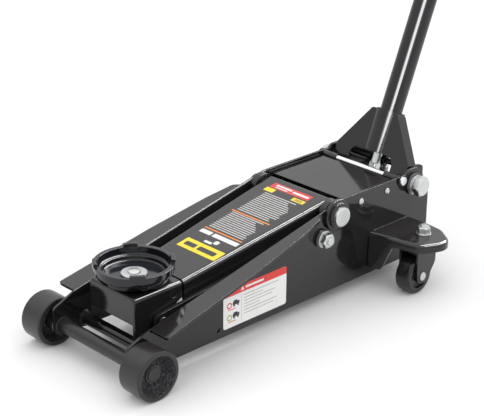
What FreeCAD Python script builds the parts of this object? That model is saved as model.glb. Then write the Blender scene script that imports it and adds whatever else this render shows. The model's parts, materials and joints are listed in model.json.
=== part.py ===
import FreeCAD, Part
import math
import os
from FreeCAD import Placement, Rotation, Vector
from Sketcher import Constraint

# A hydraulic floor jack. +X points forward, from the handle to the saddle, +Y to the jack's left
# and +Z up. The origin is on the floor, in the middle of the jack's box. Lengths that start at the
# front axle are negative behind it.

doc = FreeCAD.newDocument("floor_jack")
sheet = doc.addObject("Spreadsheet::Sheet", "dims")

# Driving dimensions, millimetres and degrees.
DIMENSIONS = {
    # general
    "fit": 0.05,                # radial clearance of a pin that turns
    "seat": 0.1,                # clearance of a pin or ring that is only held
    "sheet_bend": 5,
    # front wheels and axle
    "wheel_radius": 38,
    "wheel_width": 43,
    "wheel_inner_y": 92.5,
    "wheel_recess": 13,
    "wheel_web_radius": 22.5,
    "wheel_rim_inner": 31.5,
    "axle_radius": 11,
    "axle_end_y": 125.5,
    "ring_thickness": 1.3,
    "ring_radius": 14.2,
    "cross_tube_x": -42,
    "cross_tube_z": 35,
    "cross_tube_radius": 9.5,
    # side plates
    "plate_inner_y": 83,
    "plate_thickness": 4.5,
    "plate_low_z": 21,
    "plate_top_z": 171,
    "nose_x": 17,
    "nose_z": 67,
    "bend_x": -26,
    "bend_z": 85,
    "slope_end_x": -422,
    "plate_rear_x": -638,
    "ear_radius": 27,
    "flange_front_y": 124,
    "flange_mid_y": 117,
    "flange_rear_y": 107,
    "flange_tip_y": 98,
    "flange_length": 352,
    # pivots of the lifting linkage
    "shaft_x": -409,
    "shaft_z": 150,
    "shaft_radius": 11,
    "shaft_cap_radius": 16,
    "shaft_end_y": 105,
    "anchor_forward": 31,
    "anchor_down": 31,
    "rod_pin_x": -72,
    "rod_pin_z": 71,
    "rod_pin_radius": 6,
    "anchor_radius": 7,
    # lift arm
    "arm_rear_x": -426,
    "arm_front_x": -123,
    "arm_rear_top": 170,
    "arm_front_top": 117,
    "arm_rear_low": 122,
    "arm_front_low": 82,
    "arm_rear_half": 70,
    "arm_front_half": 51,
    "arm_wall": 5,
    "arm_bend": 8,
    "hub_radius": 15.5,
    "lever_radius": 52,
    "lever_lean": 30,
    "lever_width": 26,
    "lever_inner_y": 18.5,
    "lever_thickness": 6,
    # saddle and its bracket
    "saddle_x": -71.4,
    "saddle_radius": 61,
    "saddle_floor_z": 127,
    "saddle_rim_z": 146.4,
    "saddle_lug_z": 151,
    "saddle_foot_radius": 47,
    "bracket_top": 118,
    "bracket_low": 54,
    "bracket_web_low": 75,
    "bracket_front_x": -28,
    "bracket_rear_x": -118,
    "bracket_half": 52,
    "bracket_wall": 5,
    # hydraulic unit
    "ram_z": 101.5,
    "ram_radius": 12,
    "piston_radius": 15,
    "ram_stroke": 52,
    "link_length": 30,
    "link_pin_radius": 7,
    "link_slot_room": 3.5,
    "gland_x": -483,
    "gland_length": 10,
    "reservoir_radius": 30,
    "block_front_x": -530,
    "block_rear_x": -636,
    "block_deck_z": 100,
    "block_half": 42,
    "pump_x": -622.5,
    "pump_radius": 6,
    # handle
    "handle_x": -598,
    "handle_z": 150,
    "handle_lean": 22.7,
    "handle_length": 1080,
    "handle_radius": 19,
    "handle_wall": 2.5,
    "handle_start": 36,
    "handle_joint": 560,
    "grip_radius": 22,
    "grip_length": 150,
    "pivot_radius": 10,
    # handle socket, along the handle (up) and square to it (out)
    "socket_out": 17,
    "socket_sheet": 3.5,
    "socket_back": -6,
    "socket_top_up": 101,
    "socket_top_half": 27,
    "socket_wide_up": 26,
    "socket_half": 79,
    "socket_ear_y": 74,
    "socket_tube_radius": 25,
    "yoke_inner": 4.8,
    "yoke_outer": 8,
    "roller_reach": 26,
    "roller_rise": 27.5,
    "roller_radius": 8,
    "roller_gap": 0.4,
    # cover, tie rod and rear fastenings
    "cover_front_x": -436,
    "cover_rear_x": -556,
    "cover_top": 165,
    "cover_sheet": 2.5,
    "cover_screw_z": 155.3,
    "tie_x": -566,
    "tie_z": 164,
    "tie_radius": 5,
    # casters
    "stem_x": -553,
    "stem_y": 150,
    "stem_radius": 6,
    "caster_top": 94,
    "caster_lip_z": 80,
    "caster_sheet": 5.5,
    "caster_radius": 31,
    "caster_width": 28,
    "caster_trail": 22,
    "caster_swivel": 3,
    "fork_top": 78,
    "fork_inner": 15,
    "fork_sheet": 3.5,
}


class Size:
    """A length or angle: its value, and the sheet expression that gives the value."""

    def __init__(self, value, text):
        self.value = value
        self.text = text

    def __add__(self, other):
        other = as_size(other)
        return Size(self.value + other.value, "(%s + %s)" % (self.text, other.text))

    def __radd__(self, other):
        return as_size(other) + self

    def __sub__(self, other):
        other = as_size(other)
        return Size(self.value - other.value, "(%s - %s)" % (self.text, other.text))

    def __rsub__(self, other):
        return as_size(other) - self

    def __mul__(self, other):
        other = as_size(other)
        return Size(self.value * other.value, "(%s * %s)" % (self.text, other.text))

    def __rmul__(self, other):
        return as_size(other) * self

    def __truediv__(self, other):
        other = as_size(other)
        return Size(self.value / other.value, "(%s / %s)" % (self.text, other.text))

    def __rtruediv__(self, other):
        return as_size(other) / self

    def __neg__(self):
        return Size(-self.value, "(0 - %s)" % self.text)


def as_size(number):
    """A plain number as a Size; a Size is given back as it is."""
    if isinstance(number, Size):
        return number
    return Size(float(number), "%.6f" % number)


def sine(angle):
    return Size(math.sin(math.radians(angle.value)), "sin(%s)" % angle.text)


def cosine(angle):
    return Size(math.cos(math.radians(angle.value)), "cos(%s)" % angle.text)


def root(number):
    return Size(math.sqrt(number.value), "sqrt(%s)" % number.text)


class Dims:
    """The sheet's cells, each as a Size under its alias."""


def fill_sheet():
    """Write the driving dimensions to the sheet, and give them back by name."""
    dims = Dims()
    for row, (name, value) in enumerate(DIMENSIONS.items(), start=1):
        sheet.set("A%d" % row, name.replace("_", " "))
        sheet.set("B%d" % row, str(value))
        sheet.setAlias("B%d" % row, name)
        setattr(dims, name, Size(float(value), "dims." + name))
    doc.recompute()
    return dims


d = fill_sheet()

# Places that several sub-parts share, measured from the front axle.
axle_z = d.wheel_radius
plate_outer = d.plate_inner_y + d.plate_thickness
slope = (d.plate_top_z - d.bend_z) / (d.bend_x - d.slope_end_x)
anchor_x = d.shaft_x + d.anchor_forward
anchor_z = d.shaft_z - d.anchor_down
arm_pin_x = d.rod_pin_x - d.anchor_forward
arm_pin_z = d.rod_pin_z + d.anchor_down
link_x = d.shaft_x - d.lever_radius * sine(d.lever_lean)
link_z = d.shaft_z - d.lever_radius * cosine(d.lever_lean)
ram_pin_x = link_x - d.link_length
lean_sine = sine(d.handle_lean)
lean_cosine = cosine(d.handle_lean)
handle_end_x = d.handle_x - d.handle_length * lean_sine - d.grip_radius * lean_cosine
# The front axle's place, with the origin in the middle between the wheels' front and the handle's end.
axle_x = (-handle_end_x - d.wheel_radius) / 2

ALONG_Z = Rotation()
ALONG_Y = Rotation(Vector(1, 0, 0), -90)
ALONG_X = Rotation(Vector(0, 1, 0), 90)
LEANING = Rotation(Vector(0, 1, 0), -d.handle_lean.value)
SIDES = {"left": 1, "right": -1}

sub_parts = []


# Helpers

def bind(thing, prop, size):
    """Tie one property of an object to the sheet."""
    thing.setExpression(prop, as_size(size).text)


def place(thing, x=axle_x, y=0, z=0, turn=ALONG_Z):
    """Put an object at a place bound to the sheet, turned by a fixed rotation."""
    x, y, z = as_size(x), as_size(y), as_size(z)
    thing.Placement = Placement(Vector(x.value, y.value, z.value), turn)
    for axis, size in zip("xyz", (x, y, z)):
        bind(thing, "Placement.Base." + axis, size)


def new_body(name):
    return doc.addObject("PartDesign::Body", name)


def new_sketch(body, plane, height, tilt=Rotation(), shift=(0, 0)):
    """A sketch on one of the body's own origin planes, raised along the plane's normal."""
    sketch = body.newObject("Sketcher::SketchObject", "Sketch")
    origin_plane = [item for item in body.Origin.OriginFeatures if item.Role == plane + "_Plane"][0]
    sketch.AttachmentSupport = [(origin_plane, "")]
    sketch.MapMode = "FlatFace"
    moves = (as_size(shift[0]), as_size(shift[1]), as_size(height))
    sketch.AttachmentOffset = Placement(Vector(*[move.value for move in moves]), tilt)
    for axis, move in zip("xyz", moves):
        bind(sketch, "AttachmentOffset.Base." + axis, move)
    return sketch


def pin_point(sketch, geometry, point, u, v):
    """Hold a sketch point at a place from the sketch's origin, bound to the sheet."""
    for kind, size in (("DistanceX", as_size(u)), ("DistanceY", as_size(v))):
        number = sketch.addConstraint(Constraint(kind, -1, 1, geometry, point, size.value))
        bind(sketch, "Constraints[%d]" % number, size)


def corner_arc(before, corner, after, radius):
    """Start, end, centre and sense of the arc that rounds one corner."""
    into = (corner - before).normalize()
    out = (after - corner).normalize()
    cross = into.x * out.y - into.y * out.x
    turn = math.atan2(cross, into.dot(out))
    back = radius * math.tan(abs(turn) / 2)
    start = corner - into * back
    end = corner + out * back
    inward = Vector(-into.y, into.x, 0) * math.copysign(radius, cross)
    return start, end, start + inward, cross > 0


def draw_outline(sketch, corners):
    """A closed outline. A corner is (u, v) or (u, v, radius), with sizes from the sheet."""
    corners = [tuple(as_size(value) for value in corner) for corner in corners]
    spots = [Vector(corner[0].value, corner[1].value, 0) for corner in corners]
    count = len(corners)
    arcs = []
    for index, corner in enumerate(corners):
        if len(corner) == 3:
            arcs.append(corner_arc(spots[index - 1], spots[index], spots[(index + 1) % count],
                                   corner[2].value))
        else:
            arcs.append(None)
    lines = []
    for index in range(count):
        start = arcs[index][1] if arcs[index] else spots[index]
        following = (index + 1) % count
        end = arcs[following][0] if arcs[following] else spots[following]
        lines.append(sketch.addGeometry(Part.LineSegment(start, end), False))
    for index, corner in enumerate(corners):
        incoming, outgoing = lines[index - 1], lines[index]
        if arcs[index] is None:
            sketch.addConstraint(Constraint("Coincident", incoming, 2, outgoing, 1))
            pin_point(sketch, outgoing, 1, corner[0], corner[1])
            continue
        start, end, centre, leftward = arcs[index]
        first, last = (start, end) if leftward else (end, start)
        circle = Part.Circle(centre, Vector(0, 0, 1), corner[2].value)
        first_angle = math.atan2(first.y - centre.y, first.x - centre.x)
        last_angle = math.atan2(last.y - centre.y, last.x - centre.x)
        if last_angle < first_angle:
            last_angle += 2 * math.pi
        arc = sketch.addGeometry(Part.ArcOfCircle(circle, first_angle, last_angle), False)
        start_point, end_point = (1, 2) if leftward else (2, 1)
        sketch.addConstraint(Constraint("Tangent", incoming, 2, arc, start_point))
        sketch.addConstraint(Constraint("Tangent", arc, end_point, outgoing, 1))
        number = sketch.addConstraint(Constraint("Radius", arc, corner[2].value))
        bind(sketch, "Constraints[%d]" % number, corner[2])
        tip = sketch.addGeometry(Part.Point(spots[index]), True)
        pin_point(sketch, tip, 1, corner[0], corner[1])
        sketch.addConstraint(Constraint("PointOnObject", tip, 1, incoming))
        sketch.addConstraint(Constraint("PointOnObject", tip, 1, outgoing))


def draw_circle(sketch, u, v, radius):
    u, v, radius = as_size(u), as_size(v), as_size(radius)
    circle = Part.Circle(Vector(u.value, v.value, 0), Vector(0, 0, 1), radius.value)
    number = sketch.addGeometry(circle, False)
    pin_point(sketch, number, 3, u, v)
    limit = sketch.addConstraint(Constraint("Radius", number, radius.value))
    bind(sketch, "Constraints[%d]" % limit, radius)


def add_slab(body, plane, start, thickness, corners=None, circles=(), tilt=Rotation(), shift=(0, 0)):
    """Pad an outline, or circles alone, from start to start + thickness along +Z, +X or +Y."""
    start, thickness = as_size(start), as_size(thickness)
    height = -(start + thickness) if plane == "XZ" else start
    sketch = new_sketch(body, plane, height, tilt, shift)
    if corners:
        draw_outline(sketch, corners)
    for circle in circles:
        draw_circle(sketch, *circle)
    pad = body.newObject("PartDesign::Pad", "Pad")
    pad.Profile = sketch
    bind(pad, "Length", thickness)
    return pad


def cut_slab(body, plane, start, thickness, corners=None, circles=()):
    """Pocket an outline, or circles alone, over the same reach as add_slab."""
    start, thickness = as_size(start), as_size(thickness)
    doc.recompute()
    before = body.Shape.Volume
    height = -start if plane == "XZ" else start + thickness
    sketch = new_sketch(body, plane, height)
    if corners:
        draw_outline(sketch, corners)
    for circle in circles:
        draw_circle(sketch, *circle)
    pocket = body.newObject("PartDesign::Pocket", "Pocket")
    pocket.Profile = sketch
    bind(pocket, "Length", thickness)
    doc.recompute()
    if body.Shape.Volume > before - 1:
        raise RuntimeError("a pocket in %s cuts nothing" % body.Label)
    return pocket


def round_edges(body, radius, wanted):
    """Fillet the edges of the body's last feature that the test picks by their middle point."""
    doc.recompute()
    base = body.Tip
    names = []
    for number, edge in enumerate(base.Shape.Edges, start=1):
        middle = edge.valueAt((edge.FirstParameter + edge.LastParameter) / 2)
        if wanted(middle, edge):
            names.append("Edge%d" % number)
    if not names:
        raise RuntimeError("no edge to round in %s" % body.Label)
    fillet = body.newObject("PartDesign::Fillet", "Fillet")
    fillet.Base = (base, names)
    bind(fillet, "Radius", radius)
    doc.recompute()
    return fillet


def turned(name, profile, x=axle_x, y=0, z=0, turn=ALONG_Z):
    """A turned body: corners are (radius, height along the axis), with an optional rounding."""
    body = new_body(name)
    sketch = new_sketch(body, "XZ", 0)
    draw_outline(sketch, profile)
    revolution = body.newObject("PartDesign::Revolution", "Revolution")
    revolution.Profile = sketch
    revolution.ReferenceAxis = (sketch, ["V_Axis"])
    revolution.Angle = 360
    place(body, x, y, z, turn)
    return body


def ring_profile(inner, outer, low, high, rounding=0.6):
    return [(inner, low), (outer, low, rounding), (outer, high, rounding), (inner, high)]


def rod_profile(radius, low, high, rounding=1.0):
    return [(0, low), (radius, low, rounding), (radius, high, rounding), (0, high)]


def cylinder(name, radius, length, x, y, z, turn=ALONG_Z):
    rod = doc.addObject("Part::Cylinder", name)
    bind(rod, "Radius", radius)
    bind(rod, "Height", length)
    place(rod, x, y, z, turn)
    return rod


def cut(name, base, tool):
    result = doc.addObject("Part::Cut", name)
    result.Base = base
    result.Tool = tool
    return result


def fuse(name, pieces):
    result = doc.addObject("Part::MultiFuse", name)
    result.Shapes = pieces
    return result


def common(name, base, tool):
    result = doc.addObject("Part::Common", name)
    result.Base = base
    result.Tool = tool
    return result


def group(name, pieces):
    """Several equal fastenings as one sub-part."""
    result = doc.addObject("Part::Compound", name)
    result.Links = pieces
    return result


def keep(thing, label):
    """Name a finished sub-part; its label is its file's name."""
    thing.Label = label
    sub_parts.append(thing)
    return thing


def behind(x):
    """A place measured from the front axle, in the jack's frame."""
    return axle_x + x


def hex_bolt(name, x, z, side, flats, low, high, shank_radius, shank_low):
    """A bolt across the jack: chamfered hexagon head from low to high, shank from shank_low."""
    prism = doc.addObject("Part::Prism", name + "_head")
    prism.Polygon = 6
    bind(prism, "Circumradius", flats / math.sqrt(3))
    bind(prism, "Height", as_size(high) - low)
    start = as_size(low) if side > 0 else -as_size(high)
    place(prism, x, start, z, ALONG_Y)
    corner = flats / math.sqrt(3)
    profile = [(0, low), (corner, low), (corner, high - 2.5), (corner - 3.2, high), (0, high)]
    if side < 0:
        profile = [(radius, -as_size(height)) for radius, height in profile]
    envelope = turned(name + "_envelope", profile, x, 0, z, ALONG_Y)
    head = common(name + "_hexagon", prism, envelope)
    length = as_size(low) - shank_low + 1
    shank_start = as_size(shank_low) if side > 0 else -(as_size(low) + 1)
    shank = cylinder(name + "_shank", shank_radius, length, x, shank_start, z, ALONG_Y)
    return fuse(name, [head, shank])


def across(side, low, high):
    """A stretch of Y from low to high on the left, or its mirror on the right."""
    low, high = as_size(low), as_size(high)
    return (low, high) if side > 0 else (-high, -low)


# Chassis

def make_side_plate(name, side):
    """Side plate with its nose, sloped top, rear ear and the wide flange along the slope."""
    body = new_body(name + "_side_plate")
    low, high = across(side, d.plate_inner_y, plate_outer)
    outline = [
        (d.nose_x - 4, d.plate_low_z, 12),
        (d.nose_x, d.nose_z, 9),
        (d.bend_x, d.bend_z),
        (d.slope_end_x, d.plate_top_z),
        (d.handle_x + 20, d.plate_top_z, 4),
        (d.handle_x + 12, d.handle_z + d.ear_radius, 8),
        (d.handle_x - 15, d.handle_z + d.ear_radius, 22),
        (d.plate_rear_x, 128, 10),
        (d.plate_rear_x, 62, 8),
        (d.handle_x - 2, d.plate_low_z, 12),
    ]
    add_slab(body, "XZ", low, high - low, outline)
    flange = [
        (0, side * d.plate_inner_y),
        (0, side * d.flange_front_y, 4),
        (-0.5 * d.flange_length, side * d.flange_mid_y, 60),
        (-0.83 * d.flange_length, side * d.flange_rear_y, 30),
        (-0.98 * d.flange_length, side * d.flange_tip_y, 8),
        (-d.flange_length, side * plate_outer),
        (-d.flange_length, side * d.plate_inner_y),
    ]
    fall = math.degrees(math.atan(slope.value))
    pad = add_slab(body, "XY", d.bend_z, d.plate_thickness, flange,
                   tilt=Rotation(Vector(0, 1, 0), fall), shift=(d.bend_x, 0))
    pad.Reversed = True
    holes = [
        (0, axle_z, d.axle_radius + d.seat),
        (d.shaft_x, d.shaft_z, d.shaft_radius + d.seat),
        (anchor_x, anchor_z, d.anchor_radius + d.seat),
        (d.handle_x, d.handle_z, d.pivot_radius + d.seat),
        (d.tie_x, d.tie_z, d.tie_radius + d.seat),
        (-158, 36, 4),
        (d.cover_front_x - 32.5, d.cover_screw_z, 3.2),
        (d.cover_front_x - 95.5, d.cover_screw_z, 3.2),
    ]
    cut_slab(body, "XZ", low, high - low, circles=holes)
    # the bend between plate and flange, outside then inside

    def is_outer_bend(middle, edge):
        level = d.bend_z.value + slope.value * (d.bend_x.value - middle.x)
        inside = abs(abs(middle.y) - d.plate_inner_y.value) < 0.01
        return inside and abs(middle.z - level) < 0.1 and edge.Length > 100

    round_edges(body, 4.4, is_outer_bend)

    def is_inner_bend(middle, edge):
        on_flange = d.bend_x.value - d.flange_length.value < middle.x < d.bend_x.value - 5
        level = d.bend_z.value + slope.value * (d.bend_x.value - middle.x)
        below = -7 < middle.z - level < -3
        return on_flange and below and abs(abs(middle.y) - plate_outer.value) < 0.01 and edge.Length > 100

    round_edges(body, 3, is_inner_bend)
    place(body)
    keep(body, name + "_side_plate")


def make_axle():
    """Front axle with a groove near each end, its spacers and its snap rings."""
    groove_low = d.wheel_inner_y + d.wheel_width - d.wheel_recess + 0.2
    groove_high = groove_low + d.ring_thickness + 0.2
    groove_radius = d.axle_radius - 0.8
    end = [
        (d.axle_radius, groove_low),
        (groove_radius, groove_low),
        (groove_radius, groove_high),
        (d.axle_radius, groove_high),
        (d.axle_radius, d.axle_end_y, 1),
        (0, d.axle_end_y),
    ]
    mirrored = [(corner[0], -as_size(corner[1])) + tuple(corner[2:]) for corner in reversed(end)]
    keep(turned("front_axle", mirrored + end, axle_x, 0, axle_z, ALONG_Y), "front_axle")
    spacers = []
    rings = []
    for name, side in SIDES.items():
        low, high = across(side, plate_outer, d.wheel_inner_y + d.wheel_recess - 0.3)
        profile = ring_profile(d.axle_radius + d.seat, 16, low, high)
        spacers.append(turned(name + "_spacer", profile, axle_x, 0, axle_z, ALONG_Y))
        low, high = across(side, groove_low + 0.1, groove_low + 0.1 + d.ring_thickness)
        body = new_body(name + "_ring")
        add_slab(body, "XZ", low, high - low, circles=[(0, axle_z, d.ring_radius)])
        for angle in (-75, -105):
            x = 16.5 * math.cos(math.radians(angle))
            z = 16.5 * math.sin(math.radians(angle))
            add_slab(body, "XZ", low, high - low, circles=[(x, axle_z + z, 2.6)])
            cut_slab(body, "XZ", low, high - low, circles=[(x, axle_z + z, 1)])
        gap = [(-0.9, axle_z - 10), (0.9, axle_z - 10), (0.9, axle_z - 21), (-0.9, axle_z - 21)]
        cut_slab(body, "XZ", low, high - low, gap)
        cut_slab(body, "XZ", low, high - low, circles=[(0, axle_z, groove_radius + d.fit)])
        place(body)
        rings.append(body)
    keep(group("axle_spacers", spacers), "axle_spacers")
    keep(group("axle_snap_rings", rings), "axle_snap_rings")


def make_cross_tube():
    """Tube between the side plates, behind the axle, with a thin flange at each end."""
    half = d.plate_inner_y
    radius = d.cross_tube_radius
    profile = [
        (0, -half), (radius + 4, -half, 0.6), (radius + 4, 3 - half, 0.6), (radius, 3 - half),
        (radius, half - 3), (radius + 4, half - 3, 0.6), (radius + 4, half, 0.6), (0, half),
    ]
    tube = turned("front_cross_tube", profile, behind(d.cross_tube_x), 0, d.cross_tube_z, ALONG_Y)
    keep(tube, "front_cross_tube")


def make_caster_bracket(name, side):
    """Pressed shelf that carries a caster: rounded top, turned-down lip and a front gusset."""
    body = new_body(name + "_caster_bracket")
    outline = [
        (-490, side * plate_outer),
        (-510, side * 180, 18),
        (-560, side * 204, 30),
        (-590, side * 160, 30),
        (-594, side * 126, 16),
        (-594, side * plate_outer),
    ]
    add_slab(body, "XY", d.caster_lip_z, d.caster_top - d.caster_lip_z, outline)
    inner = [
        (-496, side * (plate_outer - 1)),
        (-515.5, side * 173, 12),
        (-557, side * 195, 23),
        (-584, side * 157.5, 23),
        (-588, side * 125, 11),
        (-588, side * (plate_outer - 1)),
    ]
    cut_slab(body, "XY", d.caster_lip_z, d.caster_top - d.caster_lip_z - d.caster_sheet, inner)
    cut_slab(body, "XY", d.caster_lip_z, 20, circles=[(d.stem_x, side * d.stem_y, d.stem_radius + d.seat)])

    def is_top_rim(middle, edge):
        on_top = abs(middle.z - d.caster_top.value) < 0.01
        from_stem = math.hypot(middle.x - d.stem_x.value, abs(middle.y) - d.stem_y.value)
        return on_top and abs(middle.y) > plate_outer.value + 1 and from_stem > 15

    round_edges(body, 7, is_top_rim)
    gusset = [
        (0, 34), (24, 34, 8), (43, d.caster_lip_z, 10), (78, d.caster_lip_z),
        (78, d.caster_top - 8), (0, d.caster_top - 8),
    ]
    gusset = [(side * as_size(corner[0]),) + tuple(corner[1:]) for corner in gusset]
    swing = math.degrees(math.atan2(20, 92.5))
    pad = add_slab(body, "YZ", -490, d.caster_sheet, gusset,
                   tilt=Rotation(Vector(0, 1, 0), side * swing), shift=(side * (plate_outer + 1.2), 0))
    pad.Reversed = True
    place(body)
    keep(body, name + "_caster_bracket")


def make_caster_stems():
    """Caster stem bolts: flat head under the fork, hexagon nut with a domed end on the bracket."""
    bolts = []
    flats = 19
    for name, side in SIDES.items():
        x, y = behind(d.stem_x), side * d.stem_y
        top = d.caster_top
        profile = [
            (0, 66), (11, 66, 1), (11, 71.9), (d.stem_radius, 71.9), (d.stem_radius, top + 15.5, 1.5),
            (0, top + 15.5),
        ]
        stem = turned(name + "_stem", profile, x, y, 0)
        prism = doc.addObject("Part::Prism", name + "_nut")
        prism.Polygon = 6
        bind(prism, "Circumradius", flats / math.sqrt(3))
        prism.Height = 11
        place(prism, x, y, top + 2)
        corner = flats / math.sqrt(3)
        envelope = [
            (0, top + 2), (corner - 1, top + 2), (corner, top + 3.5), (corner, top + 10.5),
            (corner - 2.5, top + 13), (0, top + 13),
        ]
        nut = common(name + "_nut_hexagon", prism, turned(name + "_nut_envelope", envelope, x, y, 0))
        washer = turned(name + "_nut_washer", ring_profile(d.stem_radius - 1, 12.5, top, top + 2, 0.5),
                        x, y, 0)
        bolts.append(fuse(name + "_stem_bolt", [stem, nut, washer]))
    keep(group("caster_stem_bolts", bolts), "caster_stem_bolts")


def make_cover():
    """Bent cover over the hydraulic unit, and the four screws that hold it."""
    body = new_body("cover_plate")
    half = d.plate_inner_y - 0.3
    inner = half - d.cover_sheet
    under = d.cover_top - d.cover_sheet
    outline = [
        (-half, 146), (-half, d.cover_top, d.sheet_bend), (half, d.cover_top, d.sheet_bend), (half, 146),
        (inner, 146), (inner, under, 2.5), (-inner, under, 2.5), (-inner, 146),
    ]
    length = d.cover_front_x - d.cover_rear_x
    add_slab(body, "YZ", d.cover_rear_x, length, outline)
    lip = [(-60, 150, 4), (-60, under + 1), (60, under + 1), (60, 150, 4)]
    add_slab(body, "YZ", d.cover_rear_x, d.cover_sheet, lip)
    screw_x = [d.cover_front_x - 32.5, d.cover_front_x - 95.5]
    holes = [(x, d.cover_screw_z, 3.2) for x in screw_x]
    cut_slab(body, "XZ", -half - 1, 2 * half + 2, circles=holes)
    place(body)
    keep(body, "cover_plate")
    screws = []
    for name, side in SIDES.items():
        for x in screw_x:
            profile = [
                (0, inner - 2), (3, inner - 2), (3, plate_outer), (5.3, plate_outer, 0.4),
                (5.3, plate_outer + 1.4, 1), (2.6, plate_outer + 3.4, 2), (0, plate_outer + 3.4),
            ]
            if side < 0:
                profile = [(corner[0], -as_size(corner[1])) + tuple(corner[2:]) for corner in profile]
            screws.append(turned(name + "_screw", profile, behind(x), 0, d.cover_screw_z, ALONG_Y))
    keep(group("cover_screws", screws), "cover_screws")


def make_lift_shaft():
    """Main shaft that the lift arm turns on: cap nut on the left, snap ring on the right, and its collars."""
    core, cap, cap_end = d.shaft_radius, d.shaft_cap_radius, d.shaft_end_y
    seat_y = plate_outer + 10.5
    washer_y = plate_outer + 4
    groove_y = washer_y + d.ring_thickness + 0.4
    plain_end = groove_y + 2.5
    groove_radius = core - 0.8
    shaft = [
        (0, -plain_end), (core, -plain_end, 0.8), (core, -groove_y), (groove_radius, -groove_y),
        (groove_radius, -washer_y), (core, -washer_y), (core, seat_y), (cap, seat_y), (cap, cap_end, 2),
        (0, cap_end),
    ]
    keep(turned("lift_shaft", shaft, behind(d.shaft_x), 0, d.shaft_z, ALONG_Y), "lift_shaft")
    bore = core + d.seat
    stepped = [
        (bore, plate_outer), (26, plate_outer, 1), (26, plate_outer + 6, 1.5),
        (21, plate_outer + 6.6), (21, seat_y, 1), (bore, seat_y),
    ]
    profiles = {
        "left_collar": stepped,
        "left_inner_collar": ring_profile(bore, 22, 70.5, d.plate_inner_y),
        "right_inner_collar": ring_profile(bore, 22, -d.plate_inner_y, -70.5),
        "right_washer": ring_profile(bore, 17, -washer_y, -plate_outer),
        "right_shaft_ring": ring_profile(groove_radius + d.fit, d.ring_radius, 0.2 - groove_y,
                                         -washer_y - 0.2),
    }
    collars = [turned(name, profile, behind(d.shaft_x), 0, d.shaft_z, ALONG_Y)
               for name, profile in profiles.items()]
    keep(group("shaft_collars", collars), "shaft_collars")


def make_anchor_bolts():
    """Bolts that the control rods turn on, with their washers and the rings under the washers."""
    bolts = []
    collars = []
    for name, side in SIDES.items():
        x, z = behind(anchor_x), anchor_z
        bolt = hex_bolt(name + "_anchor", x, z, side, 22, plate_outer + 8, plate_outer + 18.5,
                        d.anchor_radius, 73)
        low, high = across(side, plate_outer + 12, plate_outer + 22)
        thread = turned(name + "_anchor_thread", rod_profile(d.anchor_radius, low, high, 1.5), x, 0, z,
                        ALONG_Y)
        low, high = across(side, plate_outer + 5, plate_outer + 8.1)
        washer = turned(name + "_anchor_washer", ring_profile(d.anchor_radius - 1, 14, low, high), x, 0, z,
                        ALONG_Y)
        bolts.append(fuse(name + "_anchor_bolt", [bolt, thread, washer]))
        low, high = across(side, plate_outer, plate_outer + 5)
        collars.append(turned(name + "_anchor_collar",
                              ring_profile(d.anchor_radius + d.seat, 15, low, high, 1), x, 0, z, ALONG_Y))
    keep(group("rod_anchor_bolts", bolts), "rod_anchor_bolts")
    keep(group("anchor_collars", collars), "anchor_collars")


def make_tie_rod():
    """Bright rod between the plates in front of the handle socket, with sleeves and end bosses."""
    rod, head, seat_y, end = d.tie_radius, d.tie_radius + 2.5, plate_outer + 3, plate_outer + 7
    profile = [
        (0, -end), (head, -end, 2), (head, -seat_y), (rod, -seat_y), (rod, seat_y), (head, seat_y),
        (head, end, 2), (0, end),
    ]
    keep(turned("rear_tie_rod", profile, behind(d.tie_x), 0, d.tie_z, ALONG_Y), "rear_tie_rod")
    sleeves = []
    for name, side in SIDES.items():
        for part, inner, outer, radius in (("_sleeve", 53, d.plate_inner_y, 7), ("_boss", plate_outer,
                                                                               plate_outer + 3, 8.5)):
            low, high = across(side, inner, outer)
            sleeves.append(turned(name + part, ring_profile(d.tie_radius + d.seat, radius, low, high, 0.8),
                                  behind(d.tie_x), 0, d.tie_z, ALONG_Y))
    keep(group("tie_rod_sleeves", sleeves), "tie_rod_sleeves")


def make_handle_pivots():
    """Bolts that the handle socket turns on, spring washers under their heads, and spacers."""
    bolts = []
    spacers = []
    x, z = behind(d.handle_x), d.handle_z
    for name, side in SIDES.items():
        bolt = hex_bolt(name + "_pivot", x, z, side, 30, plate_outer + 10.5, plate_outer + 22.5,
                        d.pivot_radius, 71)
        washers = []
        for number in range(3):
            low, high = across(side, plate_outer + 4.5 + 2 * number, plate_outer + 6.6 + 2 * number)
            washers.append(turned(name + "_pivot_washer", ring_profile(d.pivot_radius - 1,
                                                                       16 - 0.8 * number, low, high, 0.7),
                                  x, 0, z, ALONG_Y))
        bolts.append(fuse(name + "_pivot_bolt", [bolt] + washers))
        for part, inner, outer, radius in (("_outer", plate_outer, plate_outer + 4.5, 19),
                                           ("_inner", d.socket_half + 0.4, d.plate_inner_y, 17)):
            low, high = across(side, inner, outer)
            spacers.append(turned(name + part + "_spacer",
                                  ring_profile(d.pivot_radius + d.seat, radius, low, high, 1),
                                  x, 0, z, ALONG_Y))
    keep(group("handle_pivot_bolts", bolts), "handle_pivot_bolts")
    keep(group("pivot_spacers", spacers), "pivot_spacers")


# Hydraulic unit

def make_base_plate():
    """Plate between the side plates that the hydraulic unit stands on."""
    body = new_body("base_plate")
    half = d.plate_inner_y
    outline = [(-616, -half, 4), (-616, half, 4), (-540, half, 4), (-540, -half, 4)]
    add_slab(body, "XY", 38, 6, outline)
    place(body)
    keep(body, "base_plate")


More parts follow.
